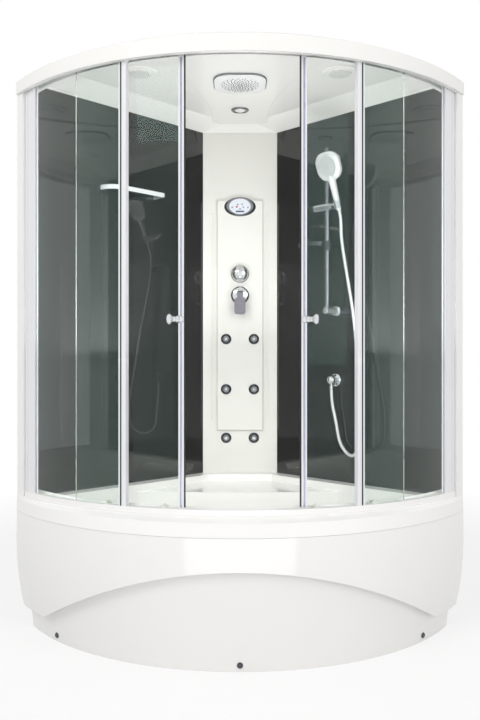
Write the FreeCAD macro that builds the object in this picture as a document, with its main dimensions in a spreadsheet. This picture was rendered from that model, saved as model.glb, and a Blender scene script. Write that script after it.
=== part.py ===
import FreeCAD, Part
import math
import os
import Sketcher
from FreeCAD import Placement, Rotation, Vector

# Steam shower cabin, a quarter-round corner cabin with a deep tub.
# Frame: the origin is on the floor under the middle of the bounding box, +X to the
# right, +Y towards the corner of the room, +Z up, millimetres.
# The two glazed walls stand at 45 degrees to X; the sliding doors and the fixed
# panes lie on arcs about one vertical axis, the arc centre.

DOC = FreeCAD.newDocument("SteamShowerCabin")
SHEET = DOC.addObject("Spreadsheet::Sheet", "Sizes")

SIZES = [
    # overall plan and heights
    ("corner_y", 656), ("wall_depth", 26), ("arc_centre_y", 460), ("total_height", 2150),
    # tub: levels, basin and rolled rim
    ("rim_top", 515), ("ledge_top", 505), ("seat_top", 475), ("basin_floor", 165),
    ("acrylic", 6), ("kerb_radius", 1000), ("basin_margin", 60), ("basin_radius", 985),
    ("basin_corner", 70), ("basin_round", 28), ("seat_front_y", 120), ("seat_back_y", 390),
    ("seat_bow", 3000),
    ("rim_front", -600), ("rim_side", 848), ("shoulder_z", 500), ("shoulder_front", -640),
    ("shoulder_side", 849), ("lip_z", 455), ("lip_front", -656), ("lip_side", 850),
    # apron: levels from the lip down, arch and recessed plinth
    ("apron_gap", 0.5), ("apron_thick", 4), ("belly_z", 324), ("belly_front", -655.5),
    ("belly_side", 850), ("taper_z", 197), ("taper_front", -648), ("taper_side", 842.5),
    ("hem_z", 91), ("hem_front", -632), ("hem_side", 828), ("arch_flat_z", 93),
    ("arch_half", 711), ("arch_radius", 1130), ("plinth_top", 350), ("plinth_top_front", -632),
    ("plinth_top_side", 828), ("plinth_front", -586), ("plinth_side", 799),
    ("screw_z", 23), ("screw_head", 10), ("screw_spread", 45),
    # base frame and feet
    ("tube", 30), ("spine_x", 200), ("front_beam_y", -430), ("front_beam_half", 430),
    ("mid_beam_y", 60), ("mid_beam_half", 570), ("back_beam_y", 365), ("foot_pad", 25),
    ("foot_pad_height", 12), ("foot_rod", 6), ("corner_post_y", 590),
    # waste
    ("drain_y", -250), ("waste_bore", 25), ("waste_flange", 45), ("waste_pipe", 25),
    ("trap_cup", 45), ("trap_top", 120), ("trap_bottom", 55), ("waste_pipe_z", 85),
    ("waste_elbow_x", 130), ("waste_elbow", 32), ("waste_nut", 30), ("waste_end", 5),
    ("plug_radius", 32), ("plug_stem", 4),
    # walls
    ("wall_glass", 6), ("wall_top", 2083), ("wall_run", 1128), ("wall_bar", 40),
    ("column_half", 172), ("post_run", 1199), ("post_nose_run", 1164), ("post_nose", 13),
    ("post_wall", 2.5), ("post_top", 2037),
    # curved front: rails, glass, posts and doors
    ("rail_inner", 1002), ("rail_outer", 1058), ("rail_angle", 50.2), ("rail_top_z", 535),
    ("track_floor", 520.5), ("track_inner", 1005), ("track_outer", 1037),
    ("glass_slot_z", 528), ("glass_radius", 1047), ("glass_thick", 6), ("slot_play", 0.3),
    ("head_rail_z", 2048), ("head_rail_top", 2078), ("head_chamber", 2074),
    ("head_ledge", 2050), ("head_ledge_outer", 1016), ("head_slot_z", 2060),
    ("fixed_start", 22.2), ("fixed_end", 48.4), ("side_profile_start", 46.2),
    ("side_profile_end", 50.1), ("side_profile_inner", 1037.5), ("side_profile_outer", 1056),
    ("groove_angle", 48.9), ("groove_depth", 3), ("post_start", 21.4), ("post_end", 22.95),
    ("fixed_post_inner", 1037.5), ("fixed_post_outer", 1057), ("gasket_start", 22.33),
    ("gasket_end", 22.58), ("gasket_proud", 1),
    ("door_radius", 1027), ("door_start", 10.6), ("door_end", 34.4), ("door_foot", 523),
    ("door_head", 2070), ("strip_start", 10.4), ("strip_end", 11.45), ("strip_half", 9),
    ("strip_gap", 1.5),
    ("strip_shift", 1.03), ("post_shift", 0.7), ("seal_start", 10.28), ("seal_half", 7),
    ("roller_near", 14.6), ("roller_far", 26.8), ("roller_radius", 11),
    ("roller_inner", 1007), ("roller_width", 7), ("roller_play", 0.3), ("axle_radius", 4),
    ("cap_reach", 4.5), ("knob_z", 1164), ("knob_turn", 72), ("knob_head", 18.4),
    ("knob_length", 46), ("knob_inset", 0.2),
    # roof
    ("roof_outer", 1075), ("roof_rim_z", 2037), ("roof_rim_top", 2096), ("roof_crown", 27000),
    ("deck_base_z", 2068), ("deck_base_inset", 30), ("deck_top_inset", 95),
    ("deck_front_inset", 120),
    ("ceiling_z", 2122), ("ceiling_thick", 5), ("cove_inset", 153), ("cove_back_y", 408),
    ("column_face_y", 447), ("tray_wall", 9), ("keystone_z", 2112), ("keystone_half", 123),
    ("keystone_back_y", 404), ("keystone_straight_y", 276), ("keystone_flare", 1300),
    ("keystone_front_half", 380), ("shower_y", -118), ("shower_half", 103.5),
    ("shower_corner", 66), ("shower_depth", 9), ("shower_disc", 75), ("shower_disc_depth", 2),
    ("spot_y", 204), ("spot_radius", 38), ("spot_bore", 26), ("spot_depth", 4),
    ("disc_x", 378), ("disc_y", -203), ("disc_radius", 66.5), ("disc_depth", 5),
    ("disc_inner", 43.5), ("disc_step", 4),
    # column
    ("column_thick", 6), ("plateau_half", 106.5), ("plateau_low", 702), ("plateau_high", 1769),
    ("plateau_proud", 12), ("plateau_skin", 5), ("plateau_round", 5), ("flute_x", 127.8),
    ("flute_width", 8), ("flute_depth", 3), ("flute_low", 750), ("flute_high", 1709),
    ("panel_z", 1737.4), ("panel_long", 73), ("panel_short", 44.5), ("panel_taper", 11),
    ("panel_depth", 9), ("display_long", 50), ("display_short", 36.5), ("display_depth", 6),
    ("key_radius", 4), ("key_proud", 1.2),
    ("diverter_z", 1427), ("diverter_radius", 38.5), ("mixer_z", 1327), ("mixer_radius", 39),
    ("rosette_depth", 5), ("rosette_margin", 3), ("spindle", 15), ("fit_play", 0.05),
    ("gap", 0.5), ("mixer_depth", 24), ("mixer_dome", 7), ("lever_slot_half", 14),
    ("lever_half", 25.5), ("lever_thick", 11), ("lever_low", 1237), ("lever_high", 1312),
    ("lever_pivot_z", 1337), ("lever_pivot_in", 14), ("lever_hub", 8), ("lever_pin", 2.5),
    ("column_hole", 23), ("jet_x", 64.2), ("jet_z1", 1125), ("jet_z2", 893), ("jet_z3", 667),
    ("jet_flange", 24), ("jet_neck", 16.7), ("jet_bore", 13.8), ("jet_ball", 13.5),
    ("jet_hole", 17), ("jet_neck_length", 20), ("jet_depth", 6),
    # service side
    ("valve_half", 45), ("valve_front_y", 472), ("valve_back_y", 572), ("valve_low", 1290),
    ("valve_high", 1465), ("pipe_radius", 7.5), ("pipe_x", 25), ("pipe_y", 560),
    ("manifold_low", 200), ("manifold_high", 230), ("nipple_radius", 10.475),
    ("nipple_length", 16), ("nipple_x", 45), ("riser_y", 520), ("riser_top", 2137), ("pipe_hole", 9),
    ("boiler_half", 215), ("boiler_front_y", 180), ("boiler_back_y", 360),
    ("boiler_height", 200),
    # shelf on the left wall
    ("shelf_near", 557), ("shelf_far", 837), ("shelf_reach", 67), ("shelf_round", 65),
    ("shelf_z", 1730), ("shelf_height", 18), ("shelf_wall", 4), ("shelf_glass_thick", 6),
    # shower rail on the right wall
    ("slide_run", 616), ("slide_reach", 65), ("slide_radius", 10), ("slide_low", 1226),
    ("slide_high", 1932), ("bracket_low", 1239), ("bracket_high", 1895),
    ("bracket_radius", 14), ("bracket_reach", 81), ("carriage_z", 1680),
    ("carriage_radius", 15), ("carriage_half", 24), ("clamp_length", 46), ("clamp_stem", 4),
    ("holder_run", 674), ("holder_neck", 11), ("holder_ring", 19), ("holder_bore", 12.2),
    ("holder_low", -12), ("holder_high", 20), ("holder_stem", 5),
    ("handset_tilt", 21.8), ("hand_foot", -19.4), ("hand_foot_radius", 10),
    ("handle_low", 11.8), ("handle_mid", 14.5), ("handle_mid_z", 60), ("handle_top", 125),
    ("head_centre", 165), ("head_radius", 59), ("head_front", 14), ("head_back", 13),
    ("dish_z", 1514), ("dish_clamp", 17), ("dish_clamp_height", 40), ("dish_long", 66),
    ("dish_round", 44), ("dish_offset", 80), ("dish_depth", 18), ("dish_wall", 3),
    ("outlet_run", 612), ("outlet_z", 942), ("outlet_rosette", 27), ("outlet_depth", 5),
    ("outlet_ball", 20), ("outlet_reach", 30), ("outlet_nut", 9.5), ("outlet_foot", 899),
    ("outlet_shank", 10), ("hose_radius", 7),
    ("hose_lead", 40), ("hose_drop", 47),
]


class Term:
    """A size with its value and the sheet expression that gives it."""

    def __init__(self, value, text):
        self.value = float(value)
        self.text = text

    def __add__(self, other):
        other = term(other)
        return Term(self.value + other.value, f"({self.text} + {other.text})")

    def __sub__(self, other):
        other = term(other)
        return Term(self.value - other.value, f"({self.text} - {other.text})")

    def __mul__(self, other):
        other = term(other)
        return Term(self.value * other.value, f"({self.text} * {other.text})")

    def __truediv__(self, other):
        other = term(other)
        return Term(self.value / other.value, f"({self.text} / {other.text})")

    def __neg__(self):
        return Term(-self.value, f"(0 - {self.text})")


def term(number):
    if isinstance(number, Term):
        return number
    return Term(number, f"({number!r})")


def root(size):
    return Term(math.sqrt(size.value), f"sqrt({size.text})")


def sine(angle):
    return Term(math.sin(math.radians(angle.value)), f"sin({angle.text})")


def cosine(angle):
    return Term(math.cos(math.radians(angle.value)), f"cos({angle.text})")


class Sheet:
    """The driving sizes, each one as a Term bound to its cell."""


S = Sheet()
for row, (alias, value) in enumerate(SIZES, start=1):
    SHEET.set(f"A{row}", alias)
    SHEET.set(f"B{row}", str(value))
    SHEET.setAlias(f"B{row}", alias)
    setattr(S, alias, Term(value, f"Sizes.{alias}"))
DOC.recompute()

PARTS = []


# ---------------------------------------------------------------- helpers

def bind(thing, **sizes):
    """Bind properties to terms; a double underscore stands for a dot."""
    for name, size in sizes.items():
        thing.setExpression(name.replace("__", "."), term(size).text)


def place(thing, x=0, y=0, z=0, axis=None, angle=0, turn=None):
    """Put an object at x, y, z, turned about one axis, with its position bound."""
    rotation = turn or Rotation(axis or Vector(0, 0, 1), float(term(angle).value))
    thing.Placement = Placement(Vector(0, 0, 0), rotation)
    bind(thing, Placement__Base__x=x, Placement__Base__y=y, Placement__Base__z=z)
    if isinstance(angle, Term) and turn is None:
        bind(thing, Placement__Rotation__Angle=angle)


def finish(thing, label):
    """Name a finished sub-part and keep it for export."""
    thing.Label = label
    PARTS.append(thing)
    return thing


def new_body(name):
    return DOC.addObject("PartDesign::Body", name)


def new_sketch(body, role, offset=None):
    plane = next(item for item in body.Origin.OriginFeatures if item.Role == role)
    sketch = body.newObject("Sketcher::SketchObject", body.Name + "_sketch")
    sketch.AttachmentSupport = [(plane, "")]
    sketch.MapMode = "FlatFace"
    if offset is not None:
        bind(sketch, AttachmentOffset__Base__z=offset)
    return sketch


def draw(sketch, *outlines):
    """Draw closed outlines. A vertex is (x, y) or (x, y, radius, way), where radius
    and way ("left" or "right" turning) make the stretch to the next vertex an arc."""
    for outline in outlines:
        first = sketch.GeometryCount
        count = len(outline)
        starts = []
        for number, vertex in enumerate(outline):
            after = outline[(number + 1) % count]
            here = Vector(term(vertex[0]).value, term(vertex[1]).value, 0)
            there = Vector(term(after[0]).value, term(after[1]).value, 0)
            if len(vertex) == 2:
                sketch.addGeometry(Part.LineSegment(here, there), False)
                starts.append(1)
                continue
            sketch.addGeometry(arc_between(here, there, term(vertex[2]).value, vertex[3]), False)
            starts.append(1 if vertex[3] == "left" else 2)
        for number, vertex in enumerate(outline):
            edge = first + number
            after = (number + 1) % count
            link = Sketcher.Constraint("Coincident", edge, 3 - starts[number],
                                       first + after, starts[after])
            sketch.addConstraint(link)
            fix(sketch, "DistanceX", edge, starts[number], vertex[0])
            fix(sketch, "DistanceY", edge, starts[number], vertex[1])
            if len(vertex) > 2:
                hold_arc(sketch, edge, vertex, outline[after])


def arc_between(here, there, radius, way):
    """The short arc from one point to another that turns left or right."""
    chord = there - here
    half = chord.Length / 2
    side = Vector(-chord.y, chord.x, 0).normalize()
    if way == "right":
        side = side * -1
    centre = here + chord * 0.5 + side * math.sqrt(max(radius * radius - half * half, 0))
    first, last = (here, there) if way == "left" else (there, here)
    start = math.atan2(first.y - centre.y, first.x - centre.x)
    end = math.atan2(last.y - centre.y, last.x - centre.x)
    return Part.ArcOfCircle(Part.Circle(centre, Vector(0, 0, 1), radius), start, end)


def hold_arc(sketch, edge, here, there):
    """Fix an arc between fixed ends by its radius, or a half circle by its centre."""
    x1, y1, x2, y2 = term(here[0]), term(here[1]), term(there[0]), term(there[1])
    across, along_y = abs(x2.value - x1.value), abs(y2.value - y1.value)
    if abs(math.hypot(across, along_y) / 2 - term(here[2]).value) > 1e-6:
        limit(sketch, edge, here[2])
    elif across > along_y:
        fix(sketch, "DistanceY", edge, 3, (y1 + y2) / 2)
    else:
        fix(sketch, "DistanceX", edge, 3, (x1 + x2) / 2)


def fix(sketch, kind, edge, point, size):
    size = term(size)
    number = sketch.addConstraint(Sketcher.Constraint(kind, -1, 1, edge, point, size.value))
    sketch.setExpression(f"Constraints[{number}]", size.text)


def limit(sketch, edge, radius):
    radius = term(radius)
    number = sketch.addConstraint(Sketcher.Constraint("Radius", edge, radius.value))
    sketch.setExpression(f"Constraints[{number}]", radius.text)


def ring(sketch, x, y, radius):
    """Draw a full circle."""
    centre = Vector(term(x).value, term(y).value, 0)
    edge = sketch.addGeometry(Part.Circle(centre, Vector(0, 0, 1), term(radius).value), False)
    fix(sketch, "DistanceX", edge, 3, x)
    fix(sketch, "DistanceY", edge, 3, y)
    limit(sketch, edge, radius)


def box(x1, y1, x2, y2):
    return [(x1, y1), (x2, y1), (x2, y2), (x1, y2)]


def pad(body, sketch, length, reverse=False):
    feature = body.newObject("PartDesign::Pad", body.Name + "_pad")
    feature.Profile = sketch
    feature.Reversed = reverse
    bind(feature, Length=length)
    DOC.recompute()
    return feature


def pocket(body, sketch, length, reverse=False):
    before = body.Shape.Volume
    feature = body.newObject("PartDesign::Pocket", body.Name + "_pocket")
    feature.Profile = sketch
    feature.Reversed = reverse
    bind(feature, Length=length)
    DOC.recompute()
    if not body.Shape.Volume < before - 1e-3:
        raise RuntimeError(f"a pocket of {body.Name} cuts nothing")
    return feature


def spin(body, sketch, angle=360, middle=False, cut=False):
    """Turn a sketch about its own vertical axis, as a solid or as a groove."""
    before = body.Shape.Volume if cut else 0
    kind = "PartDesign::Groove" if cut else "PartDesign::Revolution"
    feature = body.newObject(kind, body.Name + "_spin")
    feature.Profile = sketch
    feature.ReferenceAxis = (sketch, ["V_Axis"])
    feature.Midplane = middle
    bind(feature, Angle=angle)
    DOC.recompute()
    if cut and not body.Shape.Volume < before - 1e-3:
        raise RuntimeError(f"a groove of {body.Name} cuts nothing")
    return feature


def loft(body, sketches, cut=False):
    kind = "PartDesign::SubtractiveLoft" if cut else "PartDesign::AdditiveLoft"
    feature = body.newObject(kind, body.Name + "_loft")
    feature.Profile = sketches[0]
    feature.Sections = sketches[1:]
    feature.Ruled = True
    DOC.recompute()
    return feature


def fillet(body, feature, radius, wanted):
    """Round the edges of a feature that the test accepts."""
    names = []
    for number, edge in enumerate(feature.Shape.Edges, start=1):
        if wanted(edge):
            names.append(f"Edge{number}")
    if not names:
        raise RuntimeError(f"no edge of {body.Name} to round")
    rounded = body.newObject("PartDesign::Fillet", body.Name + "_fillet")
    rounded.Base = (feature, names)
    bind(rounded, Radius=radius)
    DOC.recompute()
    return rounded


def upright(edge):
    """Whether an edge runs straight up."""
    low, high = edge.BoundBox.ZMin, edge.BoundBox.ZMax
    return high - low > 1 and edge.BoundBox.XLength < 0.01 and edge.BoundBox.YLength < 0.01


def slab_up(name, outlines, low, high):
    """A plate with a plan outline between two heights."""
    body = new_body(name)
    sketch = new_sketch(body, "XY_Plane", low)
    draw(sketch, *outlines)
    pad(body, sketch, term(high) - low)
    return body


def slab_deep(name, outlines, front, back):
    """A plate with a front-view outline between two depths along Y."""
    body = new_body(name)
    sketch = new_sketch(body, "XZ_Plane", -term(back))
    draw(sketch, *outlines)
    pad(body, sketch, term(back) - front)
    return body


def turned(name, outline):
    """A round piece from its half section: radius across, height along Z."""
    body = new_body(name)
    sketch = new_sketch(body, "XZ_Plane")
    draw(sketch, outline)
    spin(body, sketch)
    return body


def arc_piece(name, outline, start, span):
    """A piece swept about the arc centre; angles run from the front, +X positive."""
    body = new_body(name)
    sketch = new_sketch(body, "XZ_Plane")
    draw(sketch, outline)
    spin(body, sketch, span)
    place(body, 0, S.arc_centre_y, 0, angle=term(start) - 90)
    return body


def start_of(side, low, high):
    """Start angle of a stretch from low to high, mirrored for the left side."""
    return term(low) if side > 0 else -term(high)


def rod(name, radius, length):
    cylinder = DOC.addObject("Part::Cylinder", name)
    bind(cylinder, Radius=radius, Height=length)
    return cylinder


def block(name, x1, y1, z1, x2, y2, z2):
    solid = DOC.addObject("Part::Box", name)
    bind(solid, Length=term(x2) - x1, Width=term(y2) - y1, Height=term(z2) - z1)
    place(solid, x1, y1, z1)
    return solid


def fuse(name, things):
    joined = DOC.addObject("Part::MultiFuse", name)
    joined.Shapes = things
    joined.Refine = True
    return joined


def cut(name, base, tool):
    result = DOC.addObject("Part::Cut", name)
    result.Base = base
    result.Tool = tool
    return result


def group(name, things):
    several = DOC.addObject("Part::Compound", name)
    several.Links = things
    return several


# ---------------------------------------------------------------- shared sizes

WALL_OUT = S.corner_y / root(term(2))
WALL_IN = WALL_OUT - S.wall_depth
INNER_Y = WALL_IN * root(term(2))
SIDES = (("left", -1), ("right", 1))
WALL_TURN = {-1: 45, 1: -45}


def along(side, run):
    """Local x of a point that lies run along the wall from the room's corner."""
    return (term(run) - WALL_OUT) * side


def off_wall(reach):
    return WALL_IN - reach


def on_wall(thing, side):
    thing.Placement = Placement(Vector(0, 0, 0), Rotation(Vector(0, 0, 1), WALL_TURN[side]))
    return thing


def wall_point(side, run, reach):
    """Row-frame x and y of a point at a run along the wall and a reach off it."""
    x = along(1, run)
    y = off_wall(reach)
    half = root(term(2))
    return (x + y) / half * side, (y - x) / half


def dome(radius, rise):
    """Radius of a dome that is so wide and so high, centred on its own axis."""
    radius = term(radius)
    return (radius * radius + term(rise) * rise) / (term(rise) * 2)


def sector(radius, centre_y, plane_y, back_y=None):
    """Plan outline: two walls at 45 degrees that meet at plane_y, and a front arc."""
    radius = term(radius)
    reach = term(plane_y) - centre_y
    side_x = reach / 2 + root(radius * radius / 2 - reach * reach / 4)
    side_y = term(plane_y) - side_x
    if back_y is None:
        corner = [(0, plane_y)]
    else:
        corner = [(term(plane_y) - back_y, back_y), (-(term(plane_y) - back_y), back_y)]
    return corner + [(-side_x, side_y, radius, "left"), (side_x, side_y)]


def bow(front, side, plane_y, inset=0, beyond=0):
    """Plan outline whose arc goes through the front point and the wall side points;
    inset moves the arc inwards and beyond moves the walls outwards."""
    sag = term(plane_y) - side - front
    radius = (term(side) * side + sag * sag) / (sag * 2)
    centre = term(front) + radius
    return sector(radius - inset, centre, term(plane_y) + beyond)


# ---------------------------------------------------------------- tub and apron

def make_tub():
    body = new_body("tub_shell")
    levels = ((S.lip_z, S.lip_front, S.lip_side), (S.shoulder_z, S.shoulder_front, S.shoulder_side),
              (S.rim_top, S.rim_front, S.rim_side))
    sketches = []
    for height, front, side in levels:
        sketch = new_sketch(body, "XY_Plane", height)
        draw(sketch, bow(front, side, S.corner_y))
        sketches.append(sketch)
    loft(body, sketches)

    pan = new_sketch(body, "XY_Plane", S.basin_floor - S.acrylic)
    draw(pan, basin_outline(S.acrylic))
    pad(body, pan, S.lip_z - S.basin_floor + S.acrylic + 1)

    ledge = new_sketch(body, "XY_Plane", S.rim_top)
    draw(ledge, sector(S.kerb_radius, S.arc_centre_y, S.corner_y + 20))
    pocket(body, ledge, S.rim_top - S.ledge_top)

    seat = new_sketch(body, "XY_Plane", S.ledge_top)
    draw(seat, seat_outline(0))
    pocket(body, seat, S.ledge_top - S.seat_top)

    basin = new_sketch(body, "XY_Plane", S.ledge_top)
    draw(basin, basin_outline(0))
    cavity = pocket(body, basin, S.ledge_top - S.basin_floor)
    floor = S.basin_floor.value

    def at_corner(edge):
        box_of = edge.BoundBox
        return abs(box_of.ZMin - floor) < 0.1 and box_of.ZLength > 200 and box_of.XLength < 0.01

    def at_floor(edge):
        box_of = edge.BoundBox
        return abs(box_of.ZMin - floor) < 0.1 and box_of.ZLength < 0.1

    rounded = fillet(body, cavity, S.basin_corner, at_corner)
    fillet(body, rounded, S.basin_round, at_floor)

    under = []
    for height, front, side in ((S.lip_z, S.lip_front, S.lip_side),
                                (S.ledge_top - S.acrylic, S.shoulder_front, S.shoulder_side)):
        sketch = new_sketch(body, "XY_Plane", height)
        draw(sketch, bow(front, side, S.corner_y - S.acrylic * root(term(2)), S.acrylic),
             tub_under_outline())
        under.append(sketch)
    before = body.Shape.Volume
    loft(body, under, cut=True)
    if not body.Shape.Volume < before - 1e6:
        raise RuntimeError("the hollow under the rim cuts nothing")

    below_seat = new_sketch(body, "XY_Plane", S.lip_z)
    draw(below_seat, seat_under_outline())
    pocket(body, below_seat, S.seat_top - S.acrylic - S.lip_z, reverse=True)

    drain = new_sketch(body, "XY_Plane", S.basin_floor)
    ring(drain, 0, S.drain_y, S.waste_bore + 1)
    pocket(body, drain, S.acrylic + 1)

    holes = new_sketch(body, "XY_Plane", S.ledge_top)
    ring(holes, S.pipe_x, S.pipe_y, S.pipe_hole)
    ring(holes, -S.pipe_x, S.pipe_y, S.pipe_hole)
    pocket(body, holes, S.acrylic + 1)
    finish(body, "tub_shell")


def basin_plane(grow):
    """Where the basin's side walls would meet on the Y axis."""
    return (WALL_IN - S.basin_margin + grow) * root(term(2))


def basin_outline(grow):
    """Deep basin: two sides along the walls, a bowed front and the seat's face."""
    plane = basin_plane(grow)
    radius = S.basin_radius + grow
    reach = plane - S.arc_centre_y
    side_x = reach / 2 + root(radius * radius / 2 - reach * reach / 4)
    back_y = S.seat_front_y + grow
    back_x = plane - back_y
    return [(-side_x, plane - side_x, radius, "left"), (side_x, plane - side_x),
            (back_x, back_y, S.seat_bow, "right"), (-back_x, back_y)]


def seat_outline(grow):
    """Seat recess from the basin's back edge to the column's foot."""
    plane = basin_plane(grow)
    front_y = S.seat_front_y - 60
    back_y = S.seat_back_y + grow
    return [(-(plane - front_y), front_y), (plane - front_y, front_y),
            (plane - back_y, back_y), (-(plane - back_y), back_y)]


def tub_under_outline():
    """Outside of the basin and the seat seen from below."""
    grow = S.acrylic
    plane = basin_plane(grow)
    radius = S.basin_radius + grow
    reach = plane - S.arc_centre_y
    side_x = reach / 2 + root(radius * radius / 2 - reach * reach / 4)
    back_y = S.seat_back_y + grow
    return [(-side_x, plane - side_x, radius, "left"), (side_x, plane - side_x),
            (plane - back_y, back_y), (-(plane - back_y), back_y)]


def seat_under_outline():
    """Hollow under the seat, behind the basin's back wall."""
    plane = basin_plane(0) + S.acrylic * root(term(2))
    front_y = S.seat_front_y + S.acrylic
    front_x = plane - front_y
    back_y = S.seat_back_y + S.acrylic
    return [(-front_x, front_y, S.seat_bow, "left"), (front_x, front_y),
            (plane - back_y, back_y), (-(plane - back_y), back_y)]


def solid_loft(name, levels, inset, beyond, smooth):
    sections = []
    for number, (height, front, side) in enumerate(levels):
        sketch = DOC.addObject("Sketcher::SketchObject", f"{name}_level{number}")
        place(sketch, 0, 0, height)
        draw(sketch, bow(front, side, S.corner_y, inset, beyond))
        sections.append(sketch)
    solid = DOC.addObject("Part::Loft", name)
    solid.Sections = sections
    solid.Solid = True
    solid.Ruled = not smooth
    return solid


def arch_tool(name, lift):
    """Everything under the apron's arched hem, as a deep block."""
    flat = S.arch_flat_z + lift
    wide = S.lip_side + 60
    half = S.arch_half
    radius = S.arch_radius
    outline = [(-wide, -20), (wide, -20), (wide, flat), (half, flat, radius, "left"),
               (-half, flat), (-wide, flat)]
    sketch = DOC.addObject("Sketcher::SketchObject", name + "_sketch")
    place(sketch, 0, 0, 0, axis=Vector(1, 0, 0), angle=90)
    draw(sketch, outline)
    solid = DOC.addObject("Part::Extrusion", name)
    solid.Base = sketch
    solid.Solid = True
    solid.DirMode = "Custom"
    solid.Dir = Vector(0, 1, 0)
    solid.Symmetric = True
    bind(solid, LengthFwd=S.corner_y * 3)
    return solid


def make_apron():
    top = S.lip_z - S.apron_gap
    upper = ((top, S.lip_front + 1, S.lip_side - 1), (S.belly_z, S.belly_front, S.belly_side),
             (S.taper_z, S.taper_front, S.taper_side), (S.hem_z, S.hem_front, S.hem_side))
    lower = ((S.plinth_top, S.plinth_top_front, S.plinth_top_side),
             (term(0), S.plinth_front, S.plinth_side))
    skin = S.apron_thick
    outside = cut("apron_upper", solid_loft("apron_outer", upper, 0, 0, True),
                  arch_tool("arch_line", 0))
    inside = cut("apron_hollow_upper", solid_loft("apron_inner", upper, skin, 40, True),
                 arch_tool("arch_return", skin))
    full = fuse("apron_full", [outside, solid_loft("plinth_outer", lower, 0, 0, False)])
    hollow = fuse("apron_hollow", [inside, solid_loft("plinth_inner", lower, skin, 40, False)])
    shell = cut("apron_shell", full, hollow)
    panel = cut("apron_panel", shell, screw_tools("apron_hole", S.foot_rod / 2, S.screw_head + 0.3, 25))
    finish(panel, "apron_panel")

    heads = []
    for number in range(3):
        head = turned(f"apron_screw{number}", [(0, -20), (S.foot_rod / 2, -20), (S.foot_rod / 2, 0),
                                               (S.screw_head, 0), (S.screw_head, 2.5),
                                               (S.screw_head - 3, 5), (0, 5)])
        screw_place(head, number)
        heads.append(head)
    finish(group("apron_screws", heads), "apron_screws")


def plinth_bow():
    """Radius and centre of the plinth's outer face at the height of the screws."""
    share = S.screw_z / S.plinth_top
    front = S.plinth_front + (S.plinth_top_front - S.plinth_front) * share
    side = S.plinth_side + (S.plinth_top_side - S.plinth_side) * share
    sag = S.corner_y - side - front
    radius = (side * side + sag * sag) / (sag * 2)
    return radius, front + radius


def screw_place(thing, number):
    """Set a turned piece on the plinth, its axis square to the face in plan."""
    radius, centre = plinth_bow()
    angle = S.screw_spread * (number - 1)
    turn = Rotation(Vector(0, 0, 1), angle.value) * Rotation(Vector(1, 0, 0), 90)
    place(thing, radius * sine(angle), centre - radius * cosine(angle), S.screw_z, turn=turn)


def screw_tools(name, radius, seat, length):
    """Holes for the screws, each with a round seat faced square to the screw."""
    tools = []
    for number in range(3):
        tool = turned(f"{name}{number}", [(0, -length), (radius, -length), (radius, 0),
                                          (seat, 0), (seat, length), (0, length)])
        screw_place(tool, number)
        tools.append(tool)
    return group(name + "s", tools)


# ---------------------------------------------------------------- base

def make_base():
    top = S.basin_floor - S.acrylic
    low = top - S.tube
    half = S.tube / 2
    seat_under = S.ledge_top - S.acrylic
    post_x = S.mid_beam_half - half
    bars = [
        block("beam_front", -S.front_beam_half, S.front_beam_y - half, low,
              S.front_beam_half, S.front_beam_y + half, top),
        block("beam_mid", -S.mid_beam_half, S.mid_beam_y - half, low,
              S.mid_beam_half, S.mid_beam_y + half, top),
        block("beam_back", -S.spine_x - half, S.back_beam_y - half, low,
              S.spine_x + half, S.back_beam_y + half, top),
        block("beam_spine", -half, S.back_beam_y, low, half, S.corner_post_y + half, top),
        block("post_corner", -half, S.corner_post_y - half, low,
              half, S.corner_post_y + half, seat_under),
    ]
    for side in (-1, 1):
        x = S.spine_x * side
        bars.append(block(f"beam_long{side + 1}", x - half, S.front_beam_y, low,
                          x + half, S.back_beam_y, top))
        x = post_x * side
        bars.append(block(f"post_side{side + 1}", x - half, S.mid_beam_y - half, low,
                          x + half, S.mid_beam_y + half, seat_under))
    finish(fuse("base_frame", bars), "base_frame")

    feet = []
    places = [(S.front_beam_half - S.tube, S.front_beam_y), (post_x, S.mid_beam_y),
              (S.spine_x, S.back_beam_y)]
    spots = [(x * side, y) for x, y in places for side in (-1, 1)] + [(0, S.corner_post_y)]
    for number, (x, y) in enumerate(spots):
        foot = turned(f"foot{number}", [
            (0, 0), (S.foot_pad, 0), (S.foot_pad, 4), (S.foot_pad * 0.5, S.foot_pad_height),
            (S.foot_rod, S.foot_pad_height), (S.foot_rod, low - 12), (S.foot_rod + 4, low - 12),
            (S.foot_rod + 4, low), (0, low)])
        place(foot, x, y, 0)
        feet.append(foot)
    finish(group("levelling_feet", feet), "levelling_feet")

    boiler = block("steam_generator", -S.boiler_half, S.boiler_front_y, top,
                   S.boiler_half, S.boiler_back_y, top + S.boiler_height)
    finish(boiler, "steam_generator")


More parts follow.
